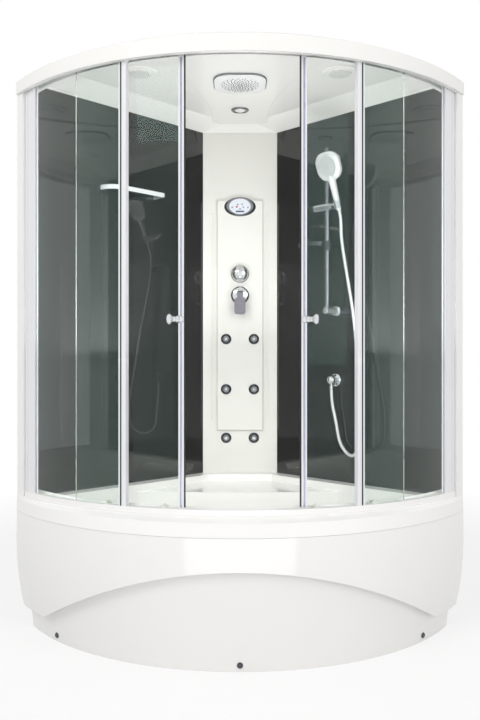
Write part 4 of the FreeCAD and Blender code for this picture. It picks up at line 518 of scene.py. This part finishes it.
def turned(name: str, outline: Outline, sides: int = 32) -> bpy.types.Object:
    """Draw a round piece up from a disc, extruding and resizing its end face.

    Args:
        name: The piece's name.
        outline: Radius and height of each step, in millimetres.
        sides: Facets round the piece.

    Returns:
        The piece, standing on +Z.
    """
    deselect()
    radius, height = outline[0]
    bpy.ops.mesh.primitive_circle_add(vertices=sides, radius=radius * MM, fill_type="NGON",
                                      location=(0, 0, height * MM))
    piece = bpy.context.object
    piece.name = piece.data.name = name
    bpy.ops.object.transform_apply(location=True)
    bpy.ops.object.mode_set(mode="EDIT")
    bpy.ops.mesh.select_mode(type="FACE")
    bpy.ops.mesh.select_all(action="SELECT")
    for wide, high in outline[1:]:
        bpy.ops.mesh.extrude_region_move(
            TRANSFORM_OT_translate={"value": (0, 0, (high - height) * MM)})
        bpy.ops.transform.resize(value=(wide / radius, wide / radius, 1))
        radius, height = wide, high
    bpy.ops.mesh.select_all(action="SELECT")
    bpy.ops.mesh.normals_make_consistent(inside=False)
    bpy.ops.object.mode_set(mode="OBJECT")
    return piece


def copies(piece: bpy.types.Object, places: Sequence[Matrix], name: str) -> bpy.types.Object:
    """Copy a small piece to each place, every copy with its own mesh, and join them.

    Args:
        piece: The piece that repeats, used up.
        places: Where each copy goes.
        name: Name of the joined piece.

    Returns:
        One piece made of all the copies.
    """
    made = []
    for place in places:
        copy = piece.copy()
        copy.data = piece.data.copy()
        copy.data.transform(place)
        bpy.context.scene.collection.objects.link(copy)
        made.append(copy)
    bpy.data.objects.remove(piece)
    return joined(made, name)


def joined(made: Sequence[bpy.types.Object], name: str) -> bpy.types.Object:
    """Join pieces into the first one and name it.

    Args:
        made: The pieces.
        name: Name of the joined piece.

    Returns:
        The first piece, which holds all the others.
    """
    deselect()
    for one in made:
        one.select_set(True)
    bpy.context.view_layer.objects.active = made[0]
    if len(made) > 1:
        bpy.ops.object.join()
    made[0].name = made[0].data.name = name
    return made[0]


@dataclass
class SubAssembly:
    """Something that is modelled on top of the CAD frame."""

    palette: Palette

    def settle(self, piece: bpy.types.Object, place: Matrix, body: str, finish: str,
               slot: str, smooth: float = 35) -> bpy.types.Object:
        """Put a finished piece in its place, dress it and let it ride on its body.

        Args:
            piece: The piece, modelled about the origin.
            place: Where it goes.
            body: The CAD body that it moves with.
            finish: Key of its finish.
            slot: Name of a material slot for the piece; not used.
            smooth: Angle in degrees above which edges stay sharp.

        Returns:
            The same piece.
        """
        piece.data.transform(place)
        pick(piece)
        bpy.ops.object.shade_smooth_by_angle(angle=math.radians(smooth))
        self.palette.dress(piece, finish)
        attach(piece, body)
        LOG.info("made %s", piece.name)
        return piece


@dataclass
class OverheadShower(SubAssembly):
    """The square white plate with its spiral of nozzles."""

    half: float = 103.5
    corner: float = 66.0
    depth: float = 9.0
    band: float = 3.0
    rim: float = 1.0
    centre: Point = (0.0, -118.0, 2112.0)
    disc: Outline = ((73.5, -2), (75, -1.2), (75, 0), (70, 1))
    nozzle: Outline = ((1.5, -3.4), (2.3, -2.8), (2.7, -1.5))
    arms: int = 18
    dots: int = 8
    skipped: int = 2
    field: float = 70.0
    twist: float = 60.0

    def build(self) -> None:
        """Model the plate, a grey band round it as painted shadow of the gap at its edge, and
        the nozzles.
        """
        x, y, top = (value * MM for value in self.centre)
        low = top - self.depth * MM
        inner = 2 * (self.half - self.band) * MM
        thick = (self.depth - self.rim) * MM
        plate = slab("overhead_plate", (inner, inner, thick), (self.corner - self.band) * MM,
                     self.rim * MM)
        self.settle(plate, Matrix.Translation((x, y, low + thick / 2)), "cabin", "white_face",
                    "chrome")
        # Painted shadow: the satin grey band stands in for the shadow gap round the plate's
        # edge.
        outer = 2 * self.half * MM
        thin = (self.depth - 2 * self.rim) * MM
        band = slab("overhead_painted_shadow_band", (outer, outer, thin), self.corner * MM, self.rim * MM)
        self.settle(band, Matrix.Translation((x, y, top - thin / 2)), "cabin", "satin", "chrome")
        disc = turned("overhead_nozzle_disc", self.disc, 64)
        self.settle(disc, Matrix.Translation((x, y, low)), "cabin", "white_face", "chrome")
        nozzle = turned("overhead_nozzle", self.nozzle, 8)
        places = [Matrix.Translation((x + across, y + along, low))
                  for across, along in self.spiral()]
        self.settle(copies(nozzle, places, "overhead_nozzles_rubber"), Matrix(), "cabin",
                    "nozzle", "grey_plastic")
        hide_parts("overhead_shower")

    def spiral(self) -> list[tuple[float, float]]:
        """Set the nozzles out along curved arms, every other arm starting further out.

        Returns:
            Places of the nozzles from the middle, in metres.
        """
        places = []
        for arm in range(self.arms):
            first = self.skipped + 1 if arm % 2 else 1
            for dot in range(first, self.dots + 1):
                radius = self.field * dot / self.dots
                angle = 2 * math.pi * arm / self.arms + radius / self.twist
                places.append((radius * MM * math.cos(angle), radius * MM * math.sin(angle)))
        return places


@dataclass
class HandShower(SubAssembly):
    """Hand shower with a soft square head, a nozzle face and a waisted handle."""

    foot: Point = (412.2, 115.07, 1680.0)
    facing: float = -45.0
    tilt: float = 21.8
    head: float = 165.0
    half: float = 59.0
    depth: float = 22.0
    corner: float = 47.0
    rim: float = 6.0
    forward: float = 1.0
    face: float = 92.0
    face_depth: float = 3.0
    face_corner: float = 40.0
    face_rim: float = 1.0
    face_front: float = 14.1
    handle: Outline = ((10, -19.4), (10.6, -17), (11.6, -14), (11.8, 20), (13, 30), (13.6, 60),
                       (15, 92), (17.5, 116), (15, 130))
    nozzle: Outline = ((2.5, 0), (2.3, 0.7), (1.3, 1.2))
    rings: tuple[tuple[float, int], ...] = ((5, 5), (11, 10), (22, 22), (32, 30), (41, 38))

    def build(self) -> None:
        """Model the body, the face and the nozzles in the handset's own directions."""
        place = (Matrix.Translation(Vector(self.foot) * MM)
                 @ Matrix.Rotation(math.radians(self.facing), 4, "Z")
                 @ Matrix.Rotation(math.radians(self.tilt), 4, "X"))
        up = self.head * MM
        shell = slab("handset_shell", (2 * self.half * MM, self.depth * MM, 2 * self.half * MM),
                     self.corner * MM, self.rim * MM, axis=1, steps=12)
        shell.data.transform(Matrix.Translation((0, -self.forward * MM, up)))
        handle = turned("handset_handle", self.handle)
        body = joined([shell, handle], "handset_body")
        self.settle(body, place, "handset", "bright_chrome", "chrome", 50)
        face = slab("handset_face", (self.face * MM, self.face_depth * MM, self.face * MM),
                    self.face_corner * MM, self.face_rim * MM, axis=1, steps=12)
        back = self.face_front - self.face_depth / 2
        self.settle(face, place @ Matrix.Translation((0, -back * MM, up)), "handset",
                    "pale_face", "chrome")
        nozzle = turned("handset_nozzle", self.nozzle, 8)
        places = []
        for radius, count in self.rings:
            for number in range(count):
                angle = 2 * math.pi * number / count
                spot = (radius * MM * math.cos(angle), -self.face_front * MM,
                        up + radius * MM * math.sin(angle))
                places.append(place @ Matrix.Translation(spot) @ TO_FRONT)
        self.settle(copies(nozzle, places, "handset_nozzles"), Matrix(), "handset", "nozzle",
                    "grey_plastic")
        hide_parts("handset")


@dataclass
class DoorPull(SubAssembly):
    """Chromed mushroom pull with a beaded neck on each door's edge strip.

    The angles are the pulls' places round the cabin's arc in degrees, by side.
    """

    angles: tuple[tuple[str, float], ...] = (("left", -11.25), ("right", 12.28))
    radius: float = 1035.0
    strip_face: float = 1036.05
    height: float = 1164.0
    lean: float = 72.0
    outline: Outline = (
        (12, -12), (13, -2), (13.6, 0), (13, 2), (9.5, 4), (9, 6), (11, 8), (11.6, 10),
        (11, 12), (8.2, 14), (7.8, 16), (9.6, 18), (10, 19.5), (9.6, 21), (8.4, 23),
        (11, 27), (15.5, 31), (18, 34.5), (18.4, 37), (17.6, 40), (14.6, 43), (9, 45.2),
        (2, 46))

    def build(self) -> None:
        """Model both pulls and cut each off where it meets its strip."""
        for label, angle in self.angles:
            side = 1 if angle > 0 else -1
            pull = turned(f"pull_{label}", self.outline, 40)
            turn = math.radians(angle)
            outward = Vector((math.sin(turn), -math.cos(turn), 0))
            centre = Vector((0, ARC_Y, self.height * MM)) + outward * self.radius * MM
            pull.data.transform(Matrix.Translation(centre)
                                @ Matrix.Rotation(math.radians(self.lean * side), 4, "Z")
                                @ TO_FRONT)
            pick(pull)
            bpy.ops.object.mode_set(mode="EDIT")
            bpy.ops.mesh.select_all(action="SELECT")
            bpy.ops.mesh.bisect(plane_co=Vector((0, ARC_Y, 0)) + outward * self.strip_face * MM,
                                plane_no=outward, use_fill=True, clear_inner=True)
            bpy.ops.object.mode_set(mode="OBJECT")
            self.settle(pull, Matrix(), f"door_{label}", "chrome", "chrome", 40)
            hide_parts(f"door_knob_{label}")


@dataclass
class DoorEdges(SubAssembly):
    """A satin grey line down each door's white edge strip, painted shade for the shading on the
    strip's rounded front.

    The angles are the strips' middles round the cabin's arc in degrees, by side.
    """

    angles: tuple[tuple[str, float], ...] = (("left", -10.93), ("right", 11.96))
    radius: float = 1036.0
    low: float = 536.5
    high: float = 2038.0
    width: float = 7.0
    depth: float = 2.0
    corner: float = 0.9
    rim: float = 0.3

    def build(self) -> None:
        """Model the line of each door."""
        long = (self.high - self.low) * MM
        for label, angle in self.angles:
            turn = math.radians(angle)
            # Painted shade: each grey line stands in for the shading on its strip's rounded
            # front.
            line = slab(f"strip_line_{label}", (self.width * MM, self.depth * MM, long),
                        self.corner * MM, self.rim * MM, steps=3)
            place = (Matrix.Translation((self.radius * MM * math.sin(turn),
                                         ARC_Y - self.radius * MM * math.cos(turn),
                                         (self.low + self.high) / 2 * MM))
                     @ Matrix.Rotation(turn, 4, "Z"))
            self.settle(line, place, f"door_{label}", "strip_line_shade", "satin_chrome")


@dataclass
class ControlFace(SubAssembly):
    """What is set into the oval display: an LCD window and one red key."""

    window: Point = (40.0, 1.6, 7.0)
    corner: float = 3.0
    rim: float = 0.3
    window_place: Point = (0.0, 428.6, 1714.4)
    key: Outline = ((4.4, 0), (4.4, 1.4), (3.6, 2))
    key_place: Point = (-14.8, 429.0, 1735.6)

    def build(self) -> None:
        """Model the window and the key."""
        wide, thick, high = (value * MM for value in self.window)
        window = slab("lcd_window", (wide, thick, high), self.corner * MM, self.rim * MM,
                      axis=1, steps=5)
        self.settle(window, Matrix.Translation(Vector(self.window_place) * MM), "cabin", "lcd",
                    "panel_glass")
        key = turned("heater_key", self.key, 20)
        self.settle(key, Matrix.Translation(Vector(self.key_place) * MM) @ TO_FRONT, "cabin",
                    "red_key", "key_grey")


@dataclass
class CeilingGrilles(SubAssembly):
    """Pierced faces of the two ceiling discs."""

    places: tuple[tuple[float, float], ...] = ((-378.0, -203.0), (378.0, -203.0))
    height: float = 2113.0
    outline: Outline = ((41.5, 0), (41.5, -1), (40.5, -1.6), (35.5, -2.2))

    def build(self) -> None:
        """Model one face and copy it."""
        face = turned("grille_face", self.outline, 48)
        places = [Matrix.Translation((x * MM, y * MM, self.height * MM)) for x, y in self.places]
        self.settle(copies(face, places, "ceiling_grilles"), Matrix(), "cabin", "grille",
                    "white_moulding")


@dataclass
class JetFaces(SubAssembly):
    """Chromed spray insert with a ring of holes in each ball nozzle."""

    across: float = 64.2
    heights: tuple[float, ...] = (1125.0, 893.0, 667.0)
    front: float = 428.0
    insert: Outline = ((8.6, -6), (8.6, -1.6), (7.6, -0.4), (6.4, -0.4), (5.6, -2.4),
                       (3.4, -2.4), (2.6, -0.2), (1.2, 0.4))
    spout: Outline = ((0.7, -2.6), (0.7, -1.9), (0.4, -1.8))
    holes: int = 6
    hole_ring: float = 4.5

    def build(self) -> None:
        """Model one insert for each nozzle."""
        spots = [(side, height) for height in self.heights for side in (-1, 1)]
        for number, (side, height) in enumerate(spots, 1):
            insert = turned(f"jet_insert_{number}", self.insert, 28)
            spout = turned(f"jet_spout_{number}", self.spout, 8)
            spouts = copies(spout, [Matrix.Rotation(2 * math.pi * n / self.holes, 4, "Z")
                                    @ Matrix.Translation((self.hole_ring * MM, 0, 0))
                                    for n in range(self.holes)], f"jet_spouts_{number}")
            place = Matrix.Translation((side * self.across * MM, self.front * MM,
                                        height * MM)) @ TO_FRONT
            whole = joined([insert, spouts], f"jet_insert_{number}")
            self.settle(whole, place, f"jet_nozzle_{number}", "chrome", "chrome", 30)


@dataclass
class DishTrim(SubAssembly):
    """Chromed wire round the soap dish's rim."""

    centre: Point = (315.2, 212.4, 1534.0)
    facing: float = -45.0
    flat: float = 22.0
    bend: float = 42.5
    wire: float = 2.6
    steps: int = 18

    def build(self) -> None:
        """Spin the wire's two half rings, with a straight drawn out after each."""
        place = (Matrix.Translation(Vector(self.centre) * MM)
                 @ Matrix.Rotation(math.radians(self.facing), 4, "Z"))
        deselect()
        bpy.ops.mesh.primitive_circle_add(vertices=10, radius=self.wire * MM,
                                          rotation=(math.pi / 2, 0, 0))
        rim = bpy.context.object
        bpy.ops.object.transform_apply(location=True, rotation=True)
        rim.data.transform(Matrix.Translation((self.flat * MM, 0, 0))
                           @ Matrix.Rotation(math.radians(90), 4, "Z")
                           @ Matrix.Translation((-self.bend * MM, 0, 0)))
        bpy.ops.object.mode_set(mode="EDIT")
        bpy.ops.mesh.select_all(action="SELECT")
        for side in (1, -1):
            middle = side * self.flat * MM
            bpy.ops.mesh.spin(steps=self.steps, angle=math.pi, center=(middle, 0, 0),
                              axis=(0, 0, 1))
            bpy.ops.mesh.extrude_region_move(
                TRANSFORM_OT_translate={"value": (-2 * middle, 0, 0)})
        bpy.ops.mesh.select_all(action="SELECT")
        bpy.ops.mesh.remove_doubles(threshold=0.0001)
        bpy.ops.mesh.normals_make_consistent(inside=False)
        bpy.ops.object.mode_set(mode="OBJECT")
        rim.name = rim.data.name = "dish_rim_wire"
        self.settle(rim, place, "cabin", "chrome", "chrome", 60)


@dataclass
class LampTrim(SubAssembly):
    """Stepped chrome bezel and frosted dome of the ceiling spotlight."""

    centre: Point = (0.0, 204.0, 2108.0)
    lip: Outline = ((38, 2), (38, -0.6), (36, -2.2), (32.5, -2.4), (30, -0.6))
    dome: Outline = ((22, 0), (21, -2.6), (16, -4.4), (8, -5.4))

    def build(self) -> None:
        """Model the bezel's rounded lip and the dome inside it."""
        place = Matrix.Translation(Vector(self.centre) * MM)
        self.settle(turned("spotlight_lip", self.lip, 56), place, "cabin", "dark_chrome",
                    "chrome")
        self.settle(turned("spotlight_dome", self.dome, 40), place, "cabin", "lens",
                    "lamp_lens", 60)


class Role(Enum):
    """What a lamp is for, which settles the rays that meet it."""

    STUDIO = "studio"
    CABIN = "cabin"
    GLOSS = "gloss"


@dataclass(frozen=True)
class Softbox:
    """A rectangular soft lamp: its place, what it faces, its two sizes and its watts."""

    name: str
    place: Point
    target: Point
    width: float
    height: float
    power: float
    role: Role = Role.STUDIO


@dataclass
class Studio:
    """Camera, lamps, floor and background.

    Three softboxes stand outside and three lie inside the cabin, where the panes would
    otherwise keep it dark. The camera sees none of the lamps and the panes mirror none. The
    last one stands low in front and shows only as the gloss of the apron.
    """

    eye: Point = (0.0, -3.110, 1.0281)
    lens_mm: float = 38.3
    lamps: tuple[Softbox, ...] = (
        Softbox("key_softbox", (-2.6, -4.0, 4.2), (0, 0, 1.0), 2.5, 2.5, 74.0),
        Softbox("fill_softbox", (3.4, -4.6, 2.2), (0, 0, 1.0), 2.5, 2.5, 50.0),
        Softbox("low_softbox", (0, -5.6, 0.8), (0, 0, 1.4), 3.0, 3.0, 40.0),
        Softbox("cabin_uplight_left", (-0.36, -0.2, 1.05), (-0.45, -0.3, 3), 0.6, 0.3, 3.7,
                Role.CABIN),
        Softbox("cabin_uplight_right", (0.36, -0.2, 1.05), (0.45, -0.3, 3), 0.6, 0.3, 3.7,
                Role.CABIN),
        Softbox("cabin_downlight", (0, -0.2, 1.02), (0, -0.24, 0), 1.3, 0.65, 1.6, Role.CABIN),
        Softbox("apron_glint", (0, -1.13, 0.3), (0, 0, 0.3), 0.81, 0.25, 1.1, Role.GLOSS))
    floor_half: float = 14.0
    shadow_reach: float = 1.9
    fade_reach: float = 3.4
    near_glow: float = 0.7
    ambient: float = 0.66

    def build(self) -> None:
        """Set up everything that isn't part of the cabin."""
        self.camera()
        for box in self.lamps:
            self.lamp(box)
        self.floor()
        self.world()

    def camera(self) -> None:
        """Place the level camera of the photo."""
        data = bpy.data.cameras.new("photo_camera")
        data.lens = self.lens_mm
        data.clip_end = 100
        camera = bpy.data.objects.new("photo_camera", data)
        camera.location = self.eye
        camera.rotation_euler = (math.pi / 2, 0, 0)
        bpy.context.scene.collection.objects.link(camera)
        bpy.context.scene.camera = camera

    def lamp(self, box: Softbox) -> None:
        """Hang one lamp.

        Args:
            box: The lamp's place, sizes, power and role.
        """
        data = bpy.data.lights.new(box.name, "AREA")
        data.energy = box.power
        data.size = box.width
        if box.role is not Role.STUDIO:
            data.shape = "RECTANGLE"
            data.size_y = box.height
        lamp = bpy.data.objects.new(box.name, data)
        lamp.location = box.place
        facing = Vector(box.target) - Vector(box.place)
        lamp.rotation_euler = facing.to_track_quat("-Z", "Y").to_euler()
        lamp.visible_camera = False
        lamp.visible_glossy = box.role is Role.GLOSS
        lamp.visible_diffuse = box.role is not Role.GLOSS
        lamp.visible_transmission = box.role is Role.STUDIO
        bpy.context.scene.collection.objects.link(lamp)

    def floor(self) -> None:
        """Lay a plain pale floor that keeps the cabin's shadow and fades to white."""
        mesh = bpy.data.meshes.new("floor")
        half = self.floor_half
        mesh.from_pydata([(-half, -half, 0), (half, -half, 0), (half, half, 0),
                          (-half, half, 0)], [], [(0, 1, 2, 3)])
        floor = bpy.data.objects.new("floor", mesh)
        bpy.context.scene.collection.objects.link(floor)
        material = empty_material("Pale_studio_floor")
        tree = material.node_tree
        shader = add_node(tree, "ShaderNodeBsdfPrincipled",
                          {"Base Color": linear("#FAFAFA"), "Roughness": 0.9})
        dim = add_node(tree, "ShaderNodeBsdfDiffuse", {"Color": linear("#CCCCCC")})
        glow = add_node(tree, "ShaderNodeEmission", {"Color": WHITE, "Strength": 1.0})
        path = add_node(tree, "ShaderNodeLightPath")
        place = add_node(tree, "ShaderNodeTexCoord")
        away = add_node(tree, "ShaderNodeVectorMath", {"operation": "LENGTH"},
                        {0: place.outputs["Object"]})
        fade = add_node(tree, "ShaderNodeMapRange",
                        {"From Min": self.shadow_reach, "From Max": self.fade_reach,
                         "To Min": self.near_glow, "To Max": 1.0},
                        {"Value": away.outputs["Value"]})
        sharp = add_node(tree, "ShaderNodeMath", {"operation": "MAXIMUM"},
                         {0: path.outputs["Is Camera Ray"], 1: path.outputs["Is Glossy Ray"]})
        either = add_node(tree, "ShaderNodeMath", {"operation": "MAXIMUM"},
                          {0: sharp.outputs["Value"], 1: path.outputs["Is Transmission Ray"]})
        seen = add_node(tree, "ShaderNodeMath", {"operation": "MULTIPLY"},
                        {0: either.outputs["Value"], 1: fade.outputs["Result"]})
        plain = add_node(tree, "ShaderNodeMixShader",
                         links={0: path.outputs["Is Diffuse Ray"], 1: shader.outputs["BSDF"],
                                2: dim.outputs["BSDF"]})
        mixed = add_node(tree, "ShaderNodeMixShader",
                         links={0: seen.outputs["Value"], 1: plain.outputs["Shader"],
                                2: glow.outputs["Emission"]})
        add_node(tree, "ShaderNodeOutputMaterial", links={"Surface": mixed.outputs["Shader"]})
        mesh.materials.append(material)

    def world(self) -> None:
        """Light evenly from all round, and show white where the background is seen.

        View Transform is the plain one, so that a colour renders about as it is written.
        """
        world = bpy.data.worlds.new("studio")
        bpy.context.scene.world = world
        world.use_nodes = True
        tree = world.node_tree
        tree.nodes.clear()
        path = add_node(tree, "ShaderNodeLightPath")
        first = add_node(tree, "ShaderNodeMath", {"operation": "MAXIMUM"},
                         {0: path.outputs["Is Camera Ray"], 1: path.outputs["Is Glossy Ray"]})
        seen = add_node(tree, "ShaderNodeMath", {"operation": "MAXIMUM"},
                        {0: first.outputs["Value"], 1: path.outputs["Is Transmission Ray"]})
        soft = add_node(tree, "ShaderNodeBackground",
                        {"Color": WHITE, "Strength": self.ambient})
        plain = add_node(tree, "ShaderNodeBackground", {"Color": WHITE, "Strength": 1.0})
        mixed = add_node(tree, "ShaderNodeMixShader",
                         links={0: seen.outputs["Value"], 1: soft.outputs["Background"],
                                2: plain.outputs["Background"]})
        add_node(tree, "ShaderNodeOutputWorld", links={"Surface": mixed.outputs["Shader"]})
        bpy.context.scene.view_settings.view_transform = "Standard"


@dataclass
class ShowerHose:
    """The chromed spiral hose from the handset's foot to the wall outlet.

    Each point of the route is its run along the right wall, its reach from the wall and its
    height, in millimetres. All other sizes are in metres.
    """

    palette: Palette
    half: float = 7.0 * MM
    ripple: float = 0.45 * MM
    pitch: float = 3.4 * MM
    sides: int = 20
    corner_y: float = 656 * MM
    wall_depth: float = 26 * MM
    blend_low: float = 950 * MM
    blend_drop: float = 20 * MM
    # How much of the ripple each of the four rings in a turn of the spiral sinks in.
    turn: tuple[float, ...] = (0.0, 0.35, 1.0, 0.35)
    route: tuple[Point, ...] = (
        (210.14, 57.8, 1661.99), (210.14, 42.94, 1624.85), (203.3, 35.6, 1553.4),
        (227.2, 35.1, 1422.9), (248.9, 39.7, 1335.3), (281.2, 48.5, 1203.3),
        (304.5, 58.9, 1059.9), (323.8, 70.5, 916.4), (335.3, 80.3, 838.5),
        (339.4, 85.3, 770.1), (331.1, 85.2, 679.4), (304.7, 68.7, 640.1),
        (263.5, 44.6, 625), (219.2, 25.6, 638.7), (183.6, 21.6, 677.2),
        (167.6, 25.4, 772.1), (148.14, 30, 852), (148.14, 30, 899))

    def points(self) -> list[Vector]:
        """Turn the route into the cabin's frame.

        Returns:
            The route's points, in metres.
        """
        wall = self.corner_y / math.sqrt(2) - self.wall_depth
        placed = []
        for run, reach, height in self.route:
            across = run * MM
            out = wall - reach * MM
            placed.append(Vector(((across + out) / math.sqrt(2),
                                  (out - across) / math.sqrt(2), height * MM)))
        return placed

    def centre_line(self) -> list[Vector]:
        """Read the smooth line of the route's spline as evenly spaced points.

        Returns:
            Points a quarter of the spiral's pitch apart, in metres.
        """
        curve = bpy.data.curves.new("hose_route", "CURVE")
        curve.dimensions = "3D"
        curve.resolution_u = 24
        spline = curve.splines.new("NURBS")
        points = self.points()
        spline.points.add(len(points) - 1)
        for point, place in zip(spline.points, points):
            point.co = (*place, 1)
        spline.order_u = 3
        spline.use_endpoint_u = True
        guide = bpy.data.objects.new("hose_route", curve)
        bpy.context.scene.collection.objects.link(guide)
        bpy.context.view_layer.update()
        line = bpy.data.meshes.new_from_object(
            guide.evaluated_get(bpy.context.evaluated_depsgraph_get()))
        raw = [vertex.co.copy() for vertex in line.vertices]
        bpy.data.objects.remove(guide)
        bpy.data.meshes.remove(line)
        return self.even(raw, self.pitch / len(self.turn))

    @staticmethod
    def even(raw: list[Vector], step: float) -> list[Vector]:
        """Space points evenly along a line of points.

        Args:
            raw: The line's points.
            step: The wanted spacing, in metres.

        Returns:
            Points from the first to the last of the line, about a step apart.
        """
        lengths = [0.0]
        for before, after in zip(raw, raw[1:]):
            lengths.append(lengths[-1] + (after - before).length)
        count = round(lengths[-1] / step)
        spaced = []
        place = 0
        for number in range(count + 1):
            wanted = lengths[-1] * number / count
            while place < len(raw) - 2 and lengths[place + 1] < wanted:
                place += 1
            stretch = max(lengths[place + 1] - lengths[place], 1e-9)
            share = (wanted - lengths[place]) / stretch
            spaced.append(raw[place].lerp(raw[place + 1], share))
        return spaced

    def build(self) -> None:
        line = self.centre_line()
        mesh = bpy.data.meshes.new("shower_hose_spiral")
        mesh.from_pydata(*self.tube(line))
        mesh.shade_smooth()
        hose = bpy.data.objects.new("shower_hose_spiral", mesh)
        bpy.context.scene.collection.objects.link(hose)
        self.palette.dress(hose, "hose_chrome")
        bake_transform(hose)
        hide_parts("shower_hose")

    def tube(self, line: list[Vector]) -> tuple[list[Vector], list, list[tuple[int, ...]]]:
        """Lay rings along the line, wide on the spiral's bands and narrow between.

        Args:
            line: Evenly spaced centre points.

        Returns:
            Vertices, no edges, and faces with both ends closed.
        """
        vertices: list[Vector] = []
        faces: list[tuple[int, ...]] = []
        along = (line[1] - line[0]).normalized()
        side = along.orthogonal().normalized()
        for number, centre in enumerate(line):
            before = line[max(number - 1, 0)]
            after = line[min(number + 1, len(line) - 1)]
            ahead = (after - before).normalized()
            side = (side - ahead * side.dot(ahead)).normalized()
            other = ahead.cross(side)
            radius = self.half - self.ripple * self.turn[number % len(self.turn)]
            for part in range(self.sides):
                angle = 2 * math.pi * part / self.sides
                vertices.append(centre + side * radius * math.cos(angle)
                                + other * radius * math.sin(angle))
        for number in range(len(line) - 1):
            for part in range(self.sides):
                here = number * self.sides + part
                beside = number * self.sides + (part + 1) % self.sides
                faces.append((here, beside, beside + self.sides, here + self.sides))
        last = (len(line) - 1) * self.sides
        faces.append(tuple(range(self.sides - 1, -1, -1)))
        faces.append(tuple(range(last, last + self.sides)))
        return vertices, [], faces


@dataclass
class Cabin:
    """The CAD nodes that carry over, each with its finish."""

    palette: Palette
    nodes: dict[str, bpy.types.Object]

    def build(self) -> None:
        """Dress every node that shows."""
        for name, node in self.nodes.items():
            if name in DRESS:
                self.palette.dress(node, DRESS[name])
        LOG.info("dressed %d nodes", len(DRESS))


def main() -> None:
    """Build the studio, the hose, the cabin's finishes and each sub-assembly's pieces."""
    logging.basicConfig(level=logging.INFO, format="%(message)s")
    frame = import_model()
    palette = Palette()
    Studio().build()
    ShowerHose(palette).build()
    Cabin(palette, frame["nodes"]).build()
    OverheadShower(palette).build()
    HandShower(palette).build()
    for trim in (DoorPull, DoorEdges, ControlFace, CeilingGrilles, JetFaces, DishTrim, LampTrim):
        trim(palette).build()
    deselect()


if __name__ == "__main__":
    main()
